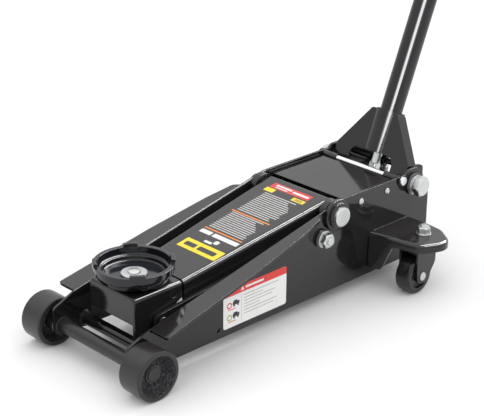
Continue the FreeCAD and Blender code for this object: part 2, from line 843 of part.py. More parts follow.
def make_power_block():
    """Cast block with the bores for ram, pump and release valve."""
    body = new_body("block_casting")
    crown = d.ram_z + d.reservoir_radius
    outline = [
        (d.block_front_x, 60, 6),
        (d.block_front_x, crown, 8),
        (d.block_front_x - 24, crown, 10),
        (d.block_front_x - 32, d.block_deck_z, 4),
        (d.block_rear_x, d.block_deck_z, 6),
        (d.block_rear_x, 70, 8),
        (d.handle_x - 4, 44, 8),
        (d.block_front_x - 14, 44, 8),
    ]
    add_slab(body, "XZ", -d.block_half, 2 * d.block_half, outline)
    cut_slab(body, "YZ", d.block_front_x - 26, 26, circles=[(0, d.ram_z, d.piston_radius + d.seat)])
    cut_slab(body, "XY", d.block_deck_z - 26, 26, circles=[(d.pump_x, 0, d.pump_radius + d.seat)])
    place(body)
    bore = cylinder("valve_bore", 6 + d.seat, 68, behind(d.handle_x), 0, d.handle_z,
                    LEANING.multiply(Rotation(Vector(1, 0, 0), 180)))
    keep(cut("power_unit_block", body, bore), "power_unit_block")


def make_cylinders():
    """Oil reservoir, the ram's cylinder inside it, the gland nut that closes both, the pump barrel."""
    rear = d.block_front_x
    front = d.gland_x - d.gland_length
    tube = ring_profile(d.reservoir_radius - 3, d.reservoir_radius, rear, front)
    keep(turned("reservoir_tube", tube, axle_x, 0, d.ram_z, ALONG_X), "reservoir_tube")
    inner = ring_profile(d.piston_radius + d.seat, d.piston_radius + 4, rear, front)
    keep(turned("ram_cylinder", inner, axle_x, 0, d.ram_z, ALONG_X), "ram_cylinder")
    nut = [
        (d.ram_radius + d.fit, front), (d.reservoir_radius + 1, front, 1),
        (d.reservoir_radius + 1, front + 6, 1.5), (20, front + 7.5), (20, d.gland_x, 1.5),
        (d.ram_radius + d.fit, d.gland_x),
    ]
    keep(turned("gland_nut", nut, axle_x, 0, d.ram_z, ALONG_X), "gland_nut")
    barrel = [
        (d.pump_radius + d.fit, d.block_deck_z), (13, d.block_deck_z), (13, d.block_deck_z + 12, 1),
        (9, d.block_deck_z + 12), (9, d.block_deck_z + 16, 1), (d.pump_radius + d.fit, d.block_deck_z + 16),
    ]
    keep(turned("pump_barrel", barrel, behind(d.pump_x), 0, 0), "pump_barrel")
    plug = [
        (0, d.block_deck_z), (6, d.block_deck_z), (6, d.block_deck_z + 3), (8, d.block_deck_z + 3, 0.5),
        (8, d.block_deck_z + 8, 1.5), (0, d.block_deck_z + 8),
    ]
    keep(turned("filler_plug", plug, behind(d.pump_x + 8), 28, 0), "filler_plug")


def make_ram():
    """Ram: piston, rod and eye on one axis, and the pin through the eye."""
    piston_front = d.gland_x - d.gland_length - d.ram_stroke - 1
    profile = [
        (0, piston_front - 8), (d.piston_radius, piston_front - 8, 1), (d.piston_radius, piston_front, 1),
        (d.ram_radius, piston_front), (d.ram_radius, ram_pin_x + 3, 1), (0, ram_pin_x + 3),
    ]
    rod = turned("ram_shank", profile, axle_x, 0, d.ram_z, ALONG_X)
    eye = new_body("ram_eye")
    add_slab(eye, "XZ", -11, 22, circles=[(ram_pin_x, d.ram_z, 11)])
    place(eye)
    bore = cylinder("ram_pin_bore", 6 + d.seat, 30, behind(ram_pin_x), -15, d.ram_z, ALONG_Y)
    keep(cut("ram_rod", fuse("ram_solid", [rod, eye]), bore), "ram_rod")
    pin = turned("ram_cross_pin", rod_profile(6, -19, 19), behind(ram_pin_x), 0, d.ram_z, ALONG_Y)
    keep(pin, "ram_cross_pin")


def make_ram_links():
    """Pair of link plates from the arm's lever to the ram, slotted round the ram's pin."""
    plates = []
    room = d.link_slot_room + 0.4
    for name, side in SIDES.items():
        low, high = across(side, 12, 17)
        body = new_body(name + "_ram_link")
        outline = [
            (link_x + 12, link_z - 12, 10), (link_x + 12, link_z + 12, 10),
            (ram_pin_x - 13, link_z + 17, 9), (ram_pin_x - 13, link_z - 17, 9),
        ]
        add_slab(body, "XZ", low, high - low, outline)
        cut_slab(body, "XZ", low, high - low, circles=[(link_x, link_z, d.link_pin_radius + d.fit)])
        half = 6 + 0.9
        slot = [
            (ram_pin_x - half, link_z - room - 6.2, 6),
            (ram_pin_x + half, link_z - room - 6.2, 6),
            (ram_pin_x + half, link_z + room + 6.2, 6),
            (ram_pin_x - half, link_z + room + 6.2, 6),
        ]
        cut_slab(body, "XZ", low, high - low, slot)
        place(body)
        plates.append(body)
    keep(group("ram_link_plates", plates), "ram_link_plates")


# Lifting linkage

def arm_half(x):
    """Half the lift arm's width at a distance from the axle."""
    share = (d.arm_front_x - x) / (d.arm_front_x - d.arm_rear_x)
    return d.arm_front_half + (d.arm_rear_half - d.arm_front_half) * share


def loft(body, kind, ends):
    """Loft between outlines in planes square to X."""
    sketches = []
    for x, corners in ends:
        sketch = new_sketch(body, "YZ", x)
        draw_outline(sketch, corners)
        sketches.append(sketch)
    feature = body.newObject(kind, "Loft")
    feature.Profile = sketches[0]
    feature.Sections = sketches[1:]
    feature.Ruled = True
    return feature


def arm_section(half, low, top, bend):
    return [(-half, low), (-half, top, bend), (half, top, bend), (half, low)]


def make_lift_arm():
    """Tapered channel with a hub for the shaft, the ram's lever and ears for the front pin."""
    body = new_body("lift_arm_channel")
    wall = d.arm_wall
    loft(body, "PartDesign::AdditiveLoft", [
        (d.arm_rear_x, arm_section(d.arm_rear_half, d.arm_rear_low, d.arm_rear_top, d.arm_bend)),
        (d.arm_front_x, arm_section(d.arm_front_half, d.arm_front_low, d.arm_front_top, d.arm_bend)),
    ])
    doc.recompute()

    def is_rear_corner(middle, edge):
        upright = abs(edge.tangentAt(edge.FirstParameter).z) > 0.99
        return upright and abs(middle.x - d.arm_rear_x.value) < 0.01

    loft(body, "PartDesign::SubtractiveLoft", [
        (d.arm_rear_x + wall, arm_section(d.arm_rear_half - wall, d.arm_rear_low - 5,
                                          d.arm_rear_top - wall, d.arm_bend - 4)),
        (d.arm_front_x + 1, arm_section(d.arm_front_half - wall, d.arm_front_low - 5,
                                        d.arm_front_top - wall, d.arm_bend - 4)),
    ])
    round_edges(body, 10, is_rear_corner)
    # hub across the arm
    hub = as_size(69)
    add_slab(body, "XZ", -hub, 2 * hub, circles=[(d.shaft_x, d.shaft_z, d.hub_radius)])
    # lever plates down to the ram's link pin
    run = 0.5 * d.lever_width
    side_x = run * cosine(d.lever_lean)
    side_z = run * sine(d.lever_lean)
    foot_x = link_x - run * sine(d.lever_lean)
    foot_z = link_z - run * cosine(d.lever_lean)
    lever = [
        (d.shaft_x - side_x, d.shaft_z + side_z),
        (foot_x - side_x, foot_z + side_z, 11),
        (foot_x + side_x, foot_z - side_z, 11),
        (d.shaft_x + side_x, d.shaft_z - side_z),
    ]
    for side in SIDES.values():
        low, high = across(side, d.lever_inner_y, d.lever_inner_y + d.lever_thickness)
        add_slab(body, "XZ", low, high - low, lever)
        # ears that reach into the saddle bracket, on a pad inside each wall
        low, high = across(side, d.arm_front_half - 10, d.arm_front_half - 5.2)
        reach = 9.5
        ear = [
            (-172, 90), (-172, 112), (-126, arm_pin_z + reach - 0.5),
            (arm_pin_x + reach, arm_pin_z + reach, 9), (arm_pin_x + reach, arm_pin_z - reach, 9),
            (-130, 88, 6),
        ]
        add_slab(body, "XZ", low, high - low, ear)
        low, high = across(side, d.arm_front_half - 10, d.arm_front_half - 2)
        add_slab(body, "XZ", low, high - low, [(-172, 90), (-172, 112), (-125, 112), (-125, 90)])
    cut_slab(body, "XZ", -80, 160, circles=[(d.shaft_x, d.shaft_z, d.shaft_radius + d.fit)])
    cut_slab(body, "XZ", -60, 120, circles=[(arm_pin_x, arm_pin_z, d.rod_pin_radius + d.fit)])
    cut_slab(body, "XZ", -30, 60, circles=[(link_x, link_z, d.link_pin_radius + d.seat)])
    place(body)
    keep(body, "lift_arm")
    end = d.bracket_half - 0.4
    keep(turned("arm_front_pin", rod_profile(d.rod_pin_radius, -end, end), behind(arm_pin_x), 0, arm_pin_z,
                ALONG_Y), "arm_front_pin")
    keep(turned("link_pin", rod_profile(d.link_pin_radius, -44, 44), behind(link_x), 0, link_z, ALONG_Y),
         "link_pin")
    springs = []
    for name, side in SIDES.items():
        rear = d.block_front_x + 0.3
        front = link_x - d.link_pin_radius - 0.3
        springs.append(turned(name + "_return_spring", ring_profile(4, 6, rear, front, 0.5), axle_x,
                              side * 37.5, link_z, ALONG_X))
    keep(group("return_springs", springs), "return_springs")


def make_bracket():
    """Saddle bracket: bent channel with a front web, the rod pins in its walls."""
    body = new_body("saddle_bracket")
    half, wall, top = d.bracket_half, d.bracket_wall, d.bracket_top
    outline = [
        (-half, d.bracket_low), (-half, top, 7), (half, top, 7), (half, d.bracket_low),
        (half - wall, d.bracket_low), (half - wall, top - wall, 3), (wall - half, top - wall, 3),
        (wall - half, d.bracket_low),
    ]
    add_slab(body, "YZ", d.bracket_rear_x, d.bracket_front_x - d.bracket_rear_x, outline)
    web = [(-half, d.bracket_web_low), (-half, top, 7), (half, top, 7), (half, d.bracket_web_low)]
    add_slab(body, "YZ", d.bracket_front_x - wall, wall, web)
    # room below the arm's walls as they swing under the bracket
    relief = [
        (d.bracket_rear_x - 5, arm_pin_z - 10), (d.bracket_rear_x, arm_pin_z - 10),
        (arm_pin_x, arm_pin_z - 18), (arm_pin_x + 14, arm_pin_z - 30), (arm_pin_x + 14, 45),
        (d.bracket_rear_x - 5, 45),
    ]
    cut_slab(body, "XZ", -60, 120, relief)
    cut_slab(body, "XZ", -60, 120, circles=[(d.rod_pin_x, d.rod_pin_z, d.rod_pin_radius + d.seat),
                                            (arm_pin_x, arm_pin_z, d.rod_pin_radius + d.fit)])
    cut_slab(body, "XY", top - 10, 12, circles=[(d.saddle_x, 0, 6 + d.seat)])

    def is_front_bend(middle, edge):
        return (abs(middle.x - d.bracket_front_x.value) < 0.01 and middle.z > top.value - 8)

    round_edges(body, 4, is_front_bend)
    place(body)
    keep(body, "saddle_bracket")
    pins = []
    for name, side in SIDES.items():
        inner = half - wall - 3
        profile = [
            (0, inner), (d.rod_pin_radius, inner, 1), (d.rod_pin_radius, half + 9.2),
            (8, half + 9.2, 0.6), (8, half + 12, 1), (0, half + 12),
        ]
        if side < 0:
            profile = [(corner[0], -as_size(corner[1])) + tuple(corner[2:]) for corner in profile]
        pins.append(turned(name + "_rod_pin", profile, behind(d.rod_pin_x), 0, d.rod_pin_z, ALONG_Y))
    keep(group("bracket_rod_pins", pins), "bracket_rod_pins")


def make_saddle():
    """Cast saddle cup with four raised lugs on its rim, its washer and its screw."""
    floor, rim, foot = d.saddle_floor_z, d.saddle_rim_z, d.saddle_foot_radius
    radius = d.saddle_radius
    low = d.bracket_top + 0.3
    bore = 7
    cup = [
        (bore, low), (foot - 2, low, 1.5), (foot + 6, low + 6, 8), (radius - 1, low + 16, 8),
        (radius, d.saddle_lug_z, 1.6), (radius - 6.5, d.saddle_lug_z, 1.6), (radius - 8, floor + 8, 3),
        (radius - 12, floor + 7, 2), (radius - 13.5, floor, 3), (bore, floor),
    ]
    body = turned("saddle_cup", cup, 0, 0, 0)
    lug_turn = 55
    lug_half = 11
    # the rim between the lugs is lower
    for number in range(4):
        start = math.radians(lug_turn + 90 * number + lug_half)
        end = math.radians(lug_turn + 90 * (number + 1) - lug_half)
        middle = (start + end) / 2
        reach = radius.value + 15
        window = []
        for angle, distance in ((start, 30), (start, reach), (middle, 1.5 * reach), (end, reach), (end, 30)):
            window.append((distance * math.cos(angle), distance * math.sin(angle)))
        cut_slab(body, "XY", rim, d.saddle_lug_z - rim + 1, window)
    place(body, behind(d.saddle_x), 0, 0)
    keep(body, "saddle")
    washer = turned("saddle_washer", ring_profile(6 + d.seat, 20, floor + 0.3, floor + 3.3, 1),
                    behind(d.saddle_x), 0, 0)
    keep(washer, "saddle_washer")
    screw = [
        (0, d.bracket_top - d.bracket_wall - 9), (6, d.bracket_top - d.bracket_wall - 9, 1),
        (6, floor + 3.3), (10, floor + 3.3, 0.5), (9, floor + 5.5, 2.5), (3.5, floor + 6.8, 3),
        (0, floor + 6.8),
    ]
    keep(turned("saddle_screw", screw, behind(d.saddle_x), 0, 0), "saddle_screw")


def make_control_rod(name, side):
    """Flat bar from the anchor bolt to the bracket's pin, drawn in towards the front."""
    front_y, rear_y = 56.7, 77
    run_x, run_y, run_z = anchor_x - d.rod_pin_x, as_size(side * (rear_y - front_y)), anchor_z - d.rod_pin_z
    length = root(run_x * run_x + run_y * run_y + run_z * run_z)
    body = new_body(name + "_rod_bar")
    half_thickness = 3
    bar = [(13, -12, 11.5), (-length - 15, -14, 13.5), (-length - 15, 14, 13.5), (13, 12, 11.5)]
    add_slab(body, "XZ", -half_thickness, 2 * half_thickness, bar)
    aim = Rotation(Vector(-1, 0, 0), Vector(run_x.value, run_y.value, run_z.value))
    place(body, behind(d.rod_pin_x), side * front_y, d.rod_pin_z, aim)
    bores = [
        cylinder(name + "_front_bore", d.rod_pin_radius + d.fit, 200, behind(d.rod_pin_x), -100, d.rod_pin_z,
                 ALONG_Y),
        cylinder(name + "_rear_bore", d.anchor_radius + d.fit, 200,
                 behind(anchor_x), -100, anchor_z, ALONG_Y),
    ]
    keep(cut(name + "_control_rod", body, fuse(name + "_rod_bores", bores)), name + "_control_rod")


# Handle

def on_handle(thing):
    """Place an object that is drawn along the handle, with its origin on the handle's pivot."""
    place(thing, behind(d.handle_x), 0, d.handle_z, LEANING)


def turned_on_handle(name, profile):
    body = turned(name, profile)
    on_handle(body)
    return body


def make_socket():
    """Pressed handle socket: flared plate, folded sides, half-round tube, pivot ears, open slot."""
    body = new_body("handle_socket")
    half, wide, top, top_half = d.socket_half, d.socket_wide_up, d.socket_top_up, d.socket_top_half
    gauge = d.socket_sheet
    legs = d.socket_ear_y
    outline = [
        (-half, 6, 3), (-half, wide, 5), (-top_half, top, 6), (top_half, top, 6), (half, wide, 5),
        (half, 6, 3), (legs, 2), (legs, -14, 5), (-legs, -14, 5), (-legs, 2),
    ]
    depth = d.socket_out - d.socket_back
    add_slab(body, "YZ", d.socket_back, depth, outline)
    inner = [
        (gauge - half, -20), (gauge - half, wide - 1, 4), (gauge - top_half + 1, top - gauge, 3),
        (top_half - gauge - 1, top - gauge, 3), (half - gauge, wide - 1, 4), (half - gauge, -20),
    ]
    cut_slab(body, "YZ", d.socket_back, depth - gauge, inner)
    # half-round tube for the handle
    add_slab(body, "XY", 30, top - 30 + 2, circles=[(0, 0, d.socket_tube_radius)])
    cut_slab(body, "XY", 25, top - 25 + 5, circles=[(0, 0, d.socket_tube_radius - gauge)])
    slot = [(-46, -20), (-46, 30, 15), (46, 30, 15), (46, -20)]
    cut_slab(body, "YZ", d.socket_back - 1, depth + 12, slot)
    # ears round the pivot
    ear = [
        (d.socket_out - 1, 24), (d.socket_out - 1, -14, 6), (2, -23, 10), (-22, -14, 12), (-29, 18, 8),
        (-22, 34, 8), (-5, 30),
    ]
    for side in SIDES.values():
        low, high = across(side, d.socket_ear_y, half)
        add_slab(body, "XZ", low, high - low, ear)
    cut_slab(body, "XZ", -85, 170, circles=[(0, 0, d.pivot_radius + d.fit)])
    roller_out = d.roller_reach * sine(d.roller_rise) * lean_sine
    roller_out = roller_out - d.roller_reach * cosine(d.roller_rise) * lean_cosine
    roller_up = d.roller_reach * cosine(d.roller_rise) * lean_sine
    roller_up = roller_up + d.roller_reach * sine(d.roller_rise) * lean_cosine
    cut_slab(body, "XZ", -85, 170, circles=[(roller_out, roller_up, 5 + d.seat)])
    on_handle(body)
    keep(body, "handle_socket")


def make_pump():
    """Roller on its pin, the plunger that it presses, and the plunger's spring."""
    x = behind(d.handle_x - d.roller_reach * cosine(d.roller_rise))
    z = d.handle_z + d.roller_reach * sine(d.roller_rise)
    keep(turned("roller_pin", rod_profile(5, -81, 81, 0.8), x, 0, z, ALONG_Y), "roller_pin")
    keep(turned("pump_roller", ring_profile(5 + d.fit, d.roller_radius, -9, 9, 1), x, 0, z, ALONG_Y),
         "pump_roller")
    cap = z - d.roller_radius - d.roller_gap
    plunger = [
        (0, d.block_deck_z + 1), (d.pump_radius, d.block_deck_z + 1, 1), (d.pump_radius, cap - 4),
        (10, cap - 4, 0.8), (10, cap, 1), (0, cap),
    ]
    keep(turned("pump_plunger", plunger, behind(d.pump_x), 0, 0), "pump_plunger")
    spring = ring_profile(7, 9.5, d.block_deck_z + 16.2, cap - 4.2, 0.6)
    keep(turned("pump_spring", spring, behind(d.pump_x), 0, 0), "pump_spring")


def make_handle():
    """Two-part tube handle with its grip, snap button and the yoke at its foot."""
    radius, bore = d.handle_radius, d.handle_radius - d.handle_wall
    joint, end = d.handle_joint, d.handle_length
    neck = bore - d.seat
    lower = [
        (bore, d.handle_start), (radius, d.handle_start, 0.8), (radius, joint, 0.8), (neck, joint + 1),
        (neck, joint + 50, 0.8), (neck - 2, joint + 50), (neck - 2, joint - 6), (bore, joint - 8),
    ]
    button_up = joint + 25
    button_hole = 4.2
    lower_tube = turned_on_handle("lower_tube", lower)
    upper_tube = turned_on_handle("upper_tube", ring_profile(bore, radius, joint + 1.2, end - 4, 0.8))
    axis_x = behind(d.handle_x - button_up * lean_sine)
    axis_z = d.handle_z + button_up * lean_cosine
    facing = LEANING.multiply(ALONG_X)
    lower_bore = cylinder("lower_button_bore", button_hole, 30, axis_x, 0, axis_z, facing)
    upper_bore = cylinder("upper_button_bore", button_hole, 30, axis_x, 0, axis_z, facing)
    keep(cut("lower_handle", lower_tube, lower_bore), "lower_handle")
    keep(cut("upper_handle", upper_tube, upper_bore), "upper_handle")
    button = [(0, neck - 4.5), (4, neck - 4.5), (4, radius + 3.6, 2), (0, radius + 3.6)]
    keep(turned("snap_button", button, axis_x, 0, axis_z, facing), "snap_button")
    grip = [
        (radius + d.seat, end - d.grip_length), (d.grip_radius, end - d.grip_length, 2),
        (d.grip_radius, end, 5), (0, end), (0, end - 3.5), (radius + d.seat, end - 3.5),
    ]
    keep(turned_on_handle("handle_grip", grip), "handle_grip")
    # plug in the handle's foot, a neck, and two ears round the cross
    plug = turned_on_handle("yoke_plug", rod_profile(neck, d.handle_start, d.handle_start + 26, 1))
    shank = turned_on_handle("yoke_neck", rod_profile(d.yoke_outer, 10, d.handle_start + 2, 1))
    ears = new_body("handle_yoke_ears")
    for side in SIDES.values():
        low, high = across(side, d.yoke_inner, d.yoke_outer)
        ear = [(-4.8, -5, 3), (4.8, -5, 3), (4.8, 12), (-4.8, 12)]
        add_slab(ears, "XZ", low, high - low, ear)
    on_handle(ears)
    pin_bore = cylinder("yoke_bore", 3 + d.seat, 30, behind(d.handle_x), -15, d.handle_z, ALONG_Y)
    keep(cut("handle_yoke", fuse("yoke_solid", [plug, shank, ears]), pin_bore), "handle_yoke")


def make_release_valve():
    """Valve spindle in the block with its yoke, and the cross between the two yokes."""
    spindle = turned_on_handle("valve_spindle", rod_profile(6, -66, -14, 1))
    collar = turned_on_handle("valve_collar", rod_profile(d.yoke_outer + 1, -20, -12, 1))
    ears = new_body("valve_yoke_ears")
    for side in SIDES.values():
        low, high = across(side, d.yoke_inner, d.yoke_outer)
        ear = [(-4.8, -13), (4.8, -13), (4.8, 5, 3), (-4.8, 5, 3)]
        add_slab(ears, "YZ", low, high - low, ear)
    on_handle(ears)
    pin_bore = cylinder("valve_pin_bore", 3 + d.seat, 30,
                        behind(d.handle_x - 15 * lean_cosine), 0, d.handle_z - 15 * lean_sine,
                        LEANING.multiply(ALONG_X))
    keep(cut("release_valve", fuse("valve_solid", [spindle, collar, ears]), pin_bore), "release_valve")
    hub = new_body("cross_hub")
    add_slab(hub, "XY", -4, 8, [(-4.3, -4.3, 1), (4.3, -4.3, 1), (4.3, 4.3, 1), (-4.3, 4.3, 1)])
    on_handle(hub)
    along_y = turned("cross_pin_y", rod_profile(3, -d.yoke_outer, d.yoke_outer, 0.6))
    on_handle(along_y)
    along_y.Placement = Placement(along_y.Placement.Base, LEANING.multiply(ALONG_Y))
    along_x = turned("cross_pin_x", rod_profile(3, -d.yoke_outer, d.yoke_outer, 0.6))
    on_handle(along_x)
    along_x.Placement = Placement(along_x.Placement.Base, LEANING.multiply(ALONG_X))
    keep(fuse("universal_cross", [hub, along_y, along_x]), "universal_cross")


# Wheels and casters

def make_front_wheel(name, side):
    """Cast wheel, dished on both faces down to its web."""
    low, high = across(side, d.wheel_inner_y, d.wheel_inner_y + d.wheel_width)
    web_low, web_high = low + d.wheel_recess, high - d.wheel_recess
    bore = d.axle_radius + d.fit
    profile = [
        (bore, web_low), (d.wheel_web_radius, web_low, 2), (d.wheel_rim_inner, low, 0.8),
        (d.wheel_radius, low, 2.5), (d.wheel_radius, high, 2.5), (d.wheel_rim_inner, high, 0.8),
        (d.wheel_web_radius, web_high, 2), (bore, web_high),
    ]
    keep(turned(name + "_front_wheel", profile, axle_x, 0, axle_z, ALONG_Y), name + "_front_wheel")


def caster_turn(side):
    return Rotation(Vector(0, 0, 1), side * d.caster_swivel.value)


def make_caster(name, side):
    """Swivel fork with its bearing cap, the wheel and the axle rivet."""
    x, y = behind(d.stem_x), side * d.stem_y
    outer = d.fork_inner + d.fork_sheet
    body = new_body(name + "_fork_sheet")
    top_outline = [(-24, -outer, 12), (38, -outer, 3), (38, outer, 3), (-24, outer, 12)]
    add_slab(body, "XY", d.fork_top - 4, 4, top_outline)
    cheek = [
        (37, d.fork_top - 1, 3), (37, 42, 12), (34, 19, 11), (10, 19, 11), (-11, 48, 10),
        (-12, d.fork_top - 1, 3),
    ]
    for cheek_side in SIDES.values():
        low, high = across(cheek_side, d.fork_inner, outer)
        add_slab(body, "XZ", low, high - low, cheek)
    cut_slab(body, "XZ", -outer - 1, 2 * outer + 2, circles=[(d.caster_trail, d.caster_radius, 4.6)])
    cap_low, cap_high = d.fork_top, d.caster_top - d.caster_sheet - 0.4
    add_slab(body, "XY", cap_low, cap_high - cap_low, circles=[(0, 0, 20)])
    cut_slab(body, "XY", 60, 40, circles=[(0, 0, d.stem_radius + d.fit)])
    place(body, x, y, 0, caster_turn(side))
    keep(body, name + "_caster_fork")
    axis_x = x + d.caster_trail * cosine(d.caster_swivel)
    axis_y = y + side * d.caster_trail * sine(d.caster_swivel)
    facing = caster_turn(side).multiply(ALONG_Y)
    half = d.caster_width / 2
    radius = d.caster_radius
    wheel = [
        (4.5 + d.fit, -half + 1), (10, -half + 1, 1), (11, -half + 6, 1.5), (20, -half + 6, 2),
        (22, -half, 1), (radius, -half, 4), (radius, half, 4), (22, half, 1), (20, half - 6, 2),
        (11, half - 6, 1.5), (10, half - 1, 1), (4.5 + d.fit, half - 1),
    ]
    keep(turned(name + "_caster_wheel", wheel, axis_x, axis_y, radius, facing), name + "_caster_wheel")
    end = outer + 2
    rivet = [
        (0, -end), (7, -end, 1), (7, -outer), (4.5, -outer), (4.5, outer), (7, outer), (7, end, 1), (0, end),
    ]
    keep(turned(name + "_caster_axle", rivet, axis_x, axis_y, radius, facing), name + "_caster_axle")


for side_name, side_sign in SIDES.items():
    make_side_plate(side_name, side_sign)
    make_caster_bracket(side_name, side_sign)
    make_front_wheel(side_name, side_sign)
    make_caster(side_name, side_sign)
    make_control_rod(side_name, side_sign)
make_axle()
make_cross_tube()
make_caster_stems()
make_cover()
make_lift_shaft()
make_anchor_bolts()
make_tie_rod()
make_handle_pivots()
make_base_plate()
make_power_block()
make_cylinders()
make_ram()
make_ram_links()
make_lift_arm()
make_bracket()
make_saddle()
make_socket()
make_pump()
make_handle()
make_release_valve()
doc.recompute()

for item in doc.Objects:
    if "Invalid" in item.State or "Error" in item.State:
        raise RuntimeError("%s failed: %s" % (item.Label, item.State))
for item in sub_parts:
    if item.Shape.isNull() or not item.Shape.isValid():
        raise RuntimeError("%s has no valid shape" % item.Label)

os.makedirs("parts", exist_ok=True)
for item in sub_parts:
    item.Shape.exportStep("parts/%s.step" % item.Label)
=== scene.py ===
"""Looks of the hydraulic floor jack: materials, labels, springs, welds, light and camera.

Lengths are in metres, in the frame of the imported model. Places along the jack are given
from the front axle, in millimetres, by the helper spot().
"""
import json
import math

import bmesh
import bpy
from mathutils import Matrix, Vector

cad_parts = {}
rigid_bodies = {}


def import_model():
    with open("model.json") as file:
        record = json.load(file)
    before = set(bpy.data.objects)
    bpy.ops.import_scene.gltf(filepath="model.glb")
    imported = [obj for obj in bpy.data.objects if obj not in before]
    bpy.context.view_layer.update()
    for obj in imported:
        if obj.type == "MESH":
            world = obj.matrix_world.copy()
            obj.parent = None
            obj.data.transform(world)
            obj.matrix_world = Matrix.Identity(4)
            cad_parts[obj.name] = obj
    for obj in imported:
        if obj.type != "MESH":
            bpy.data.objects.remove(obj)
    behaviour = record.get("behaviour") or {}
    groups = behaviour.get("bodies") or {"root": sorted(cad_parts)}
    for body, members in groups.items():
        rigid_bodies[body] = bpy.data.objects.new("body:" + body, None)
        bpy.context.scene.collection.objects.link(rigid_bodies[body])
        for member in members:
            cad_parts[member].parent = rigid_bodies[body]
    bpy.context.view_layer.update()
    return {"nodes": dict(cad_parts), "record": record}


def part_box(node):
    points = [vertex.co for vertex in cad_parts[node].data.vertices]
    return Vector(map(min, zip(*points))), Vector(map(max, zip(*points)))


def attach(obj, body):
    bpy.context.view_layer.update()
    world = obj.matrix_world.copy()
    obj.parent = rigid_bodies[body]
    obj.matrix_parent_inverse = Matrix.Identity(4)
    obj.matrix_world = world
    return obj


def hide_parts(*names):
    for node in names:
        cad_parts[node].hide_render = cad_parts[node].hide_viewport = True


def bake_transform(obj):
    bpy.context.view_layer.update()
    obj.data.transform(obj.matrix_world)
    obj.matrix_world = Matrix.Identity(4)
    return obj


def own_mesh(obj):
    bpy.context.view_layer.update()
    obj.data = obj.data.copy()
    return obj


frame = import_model()
nodes = frame["nodes"]

MM = 0.001
SIDES = {"left": 1, "right": -1}
wheel_low, wheel_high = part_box("left_front_wheel")
AXLE_X = (wheel_low.x + wheel_high.x) / 2


def spot(x, y, z):
    """A point in metres, from millimetres measured from the front axle's middle and the floor."""
    return Vector((AXLE_X + x * MM, y * MM, z * MM))


# Node helpers for materials


class Paint:
    """A material with one Principled shader, and short calls to add nodes to it."""

    def __init__(self, name):
        self.material = bpy.data.materials.new(name)
        self.material.use_nodes = True
        self.tree = self.material.node_tree
        self.tree.nodes.clear()
        self.shader = self.add("ShaderNodeBsdfPrincipled")
        out = self.add("ShaderNodeOutputMaterial")
        self.tree.links.new(self.shader.outputs["BSDF"], out.inputs["Surface"])
        self.place = self.add("ShaderNodeTexCoord").outputs["Object"]

    def add(self, kind, **settings):
        node = self.tree.nodes.new(kind)
        for key, value in settings.items():
            setattr(node, key, value)
        return node

    def link(self, source, target):
        self.tree.links.new(source, target)

    def set(self, **values):
        for key, value in values.items():
            self.shader.inputs[key.replace("_", " ")].default_value = value

    def stretched(self, scale):
        """Object coordinates scaled by three factors."""
        mapping = self.add("ShaderNodeMapping")
        mapping.inputs["Scale"].default_value = scale
        self.link(self.place, mapping.inputs["Vector"])
        return mapping.outputs["Vector"]

    def noise(self, scale, detail=3.0, roughness=0.55, vector=None):
        node = self.add("ShaderNodeTexNoise")
        node.inputs["Scale"].default_value = scale
        node.inputs["Detail"].default_value = detail
        node.inputs["Roughness"].default_value = roughness
        self.link(vector or self.place, node.inputs["Vector"])
        return node.outputs["Fac"]

    def spots(self, scale, randomness=1.0):
        node = self.add("ShaderNodeTexVoronoi")
        node.inputs["Scale"].default_value = scale
        node.inputs["Randomness"].default_value = randomness
        self.link(self.place, node.inputs["Vector"])
        return node.outputs["Distance"]

    def remap(self, value, low, high, out_low, out_high):
        node = self.add("ShaderNodeMapRange")
        for key, number in (("From Min", low), ("From Max", high), ("To Min", out_low), ("To Max", out_high)):
            node.inputs[key].default_value = number
        self.link(value, node.inputs["Value"])
        return node.outputs["Result"]

    def math(self, operation, first, second):
        node = self.add("ShaderNodeMath", operation=operation)
        for index, value in enumerate((first, second)):
            if isinstance(value, (int, float)):
                node.inputs[index].default_value = value
            else:
                self.link(value, node.inputs[index])
        return node.outputs["Value"]

    def mix(self, factor, first, second):
        """Colour mix; each colour is a tuple or a socket."""
        node = self.add("ShaderNodeMix", data_type="RGBA")
        self.link(factor, node.inputs["Factor"])
        for key, value in (("A", first), ("B", second)):
            socket = [item for item in node.inputs if item.name == key and item.type == "RGBA"][0]
            if isinstance(value, tuple):
                socket.default_value = value + (1.0,)
            else:
                self.link(value, socket)
        return [item for item in node.outputs if item.type == "RGBA"][0]

    def colour(self, source):
        self.link(source, self.shader.inputs["Base Color"])

    def rough(self, source):
        self.link(source, self.shader.inputs["Roughness"])

    def bump(self, layers, rounding=0.0):
        """Chained bumps: (height socket, distance in metres, strength), over softened edges."""
        normal = None
        if rounding:
            bevel = self.add("ShaderNodeBevel", samples=8)
            bevel.inputs["Radius"].default_value = rounding
            normal = bevel.outputs["Normal"]
        for height, distance, strength in layers:
            node = self.add("ShaderNodeBump")
            node.inputs["Distance"].default_value = distance
            node.inputs["Strength"].default_value = strength
            self.link(height, node.inputs["Height"])
            if normal:
                self.link(normal, node.inputs["Normal"])
            normal = node.outputs["Normal"]
        self.link(normal, self.shader.inputs["Normal"])


# Materials


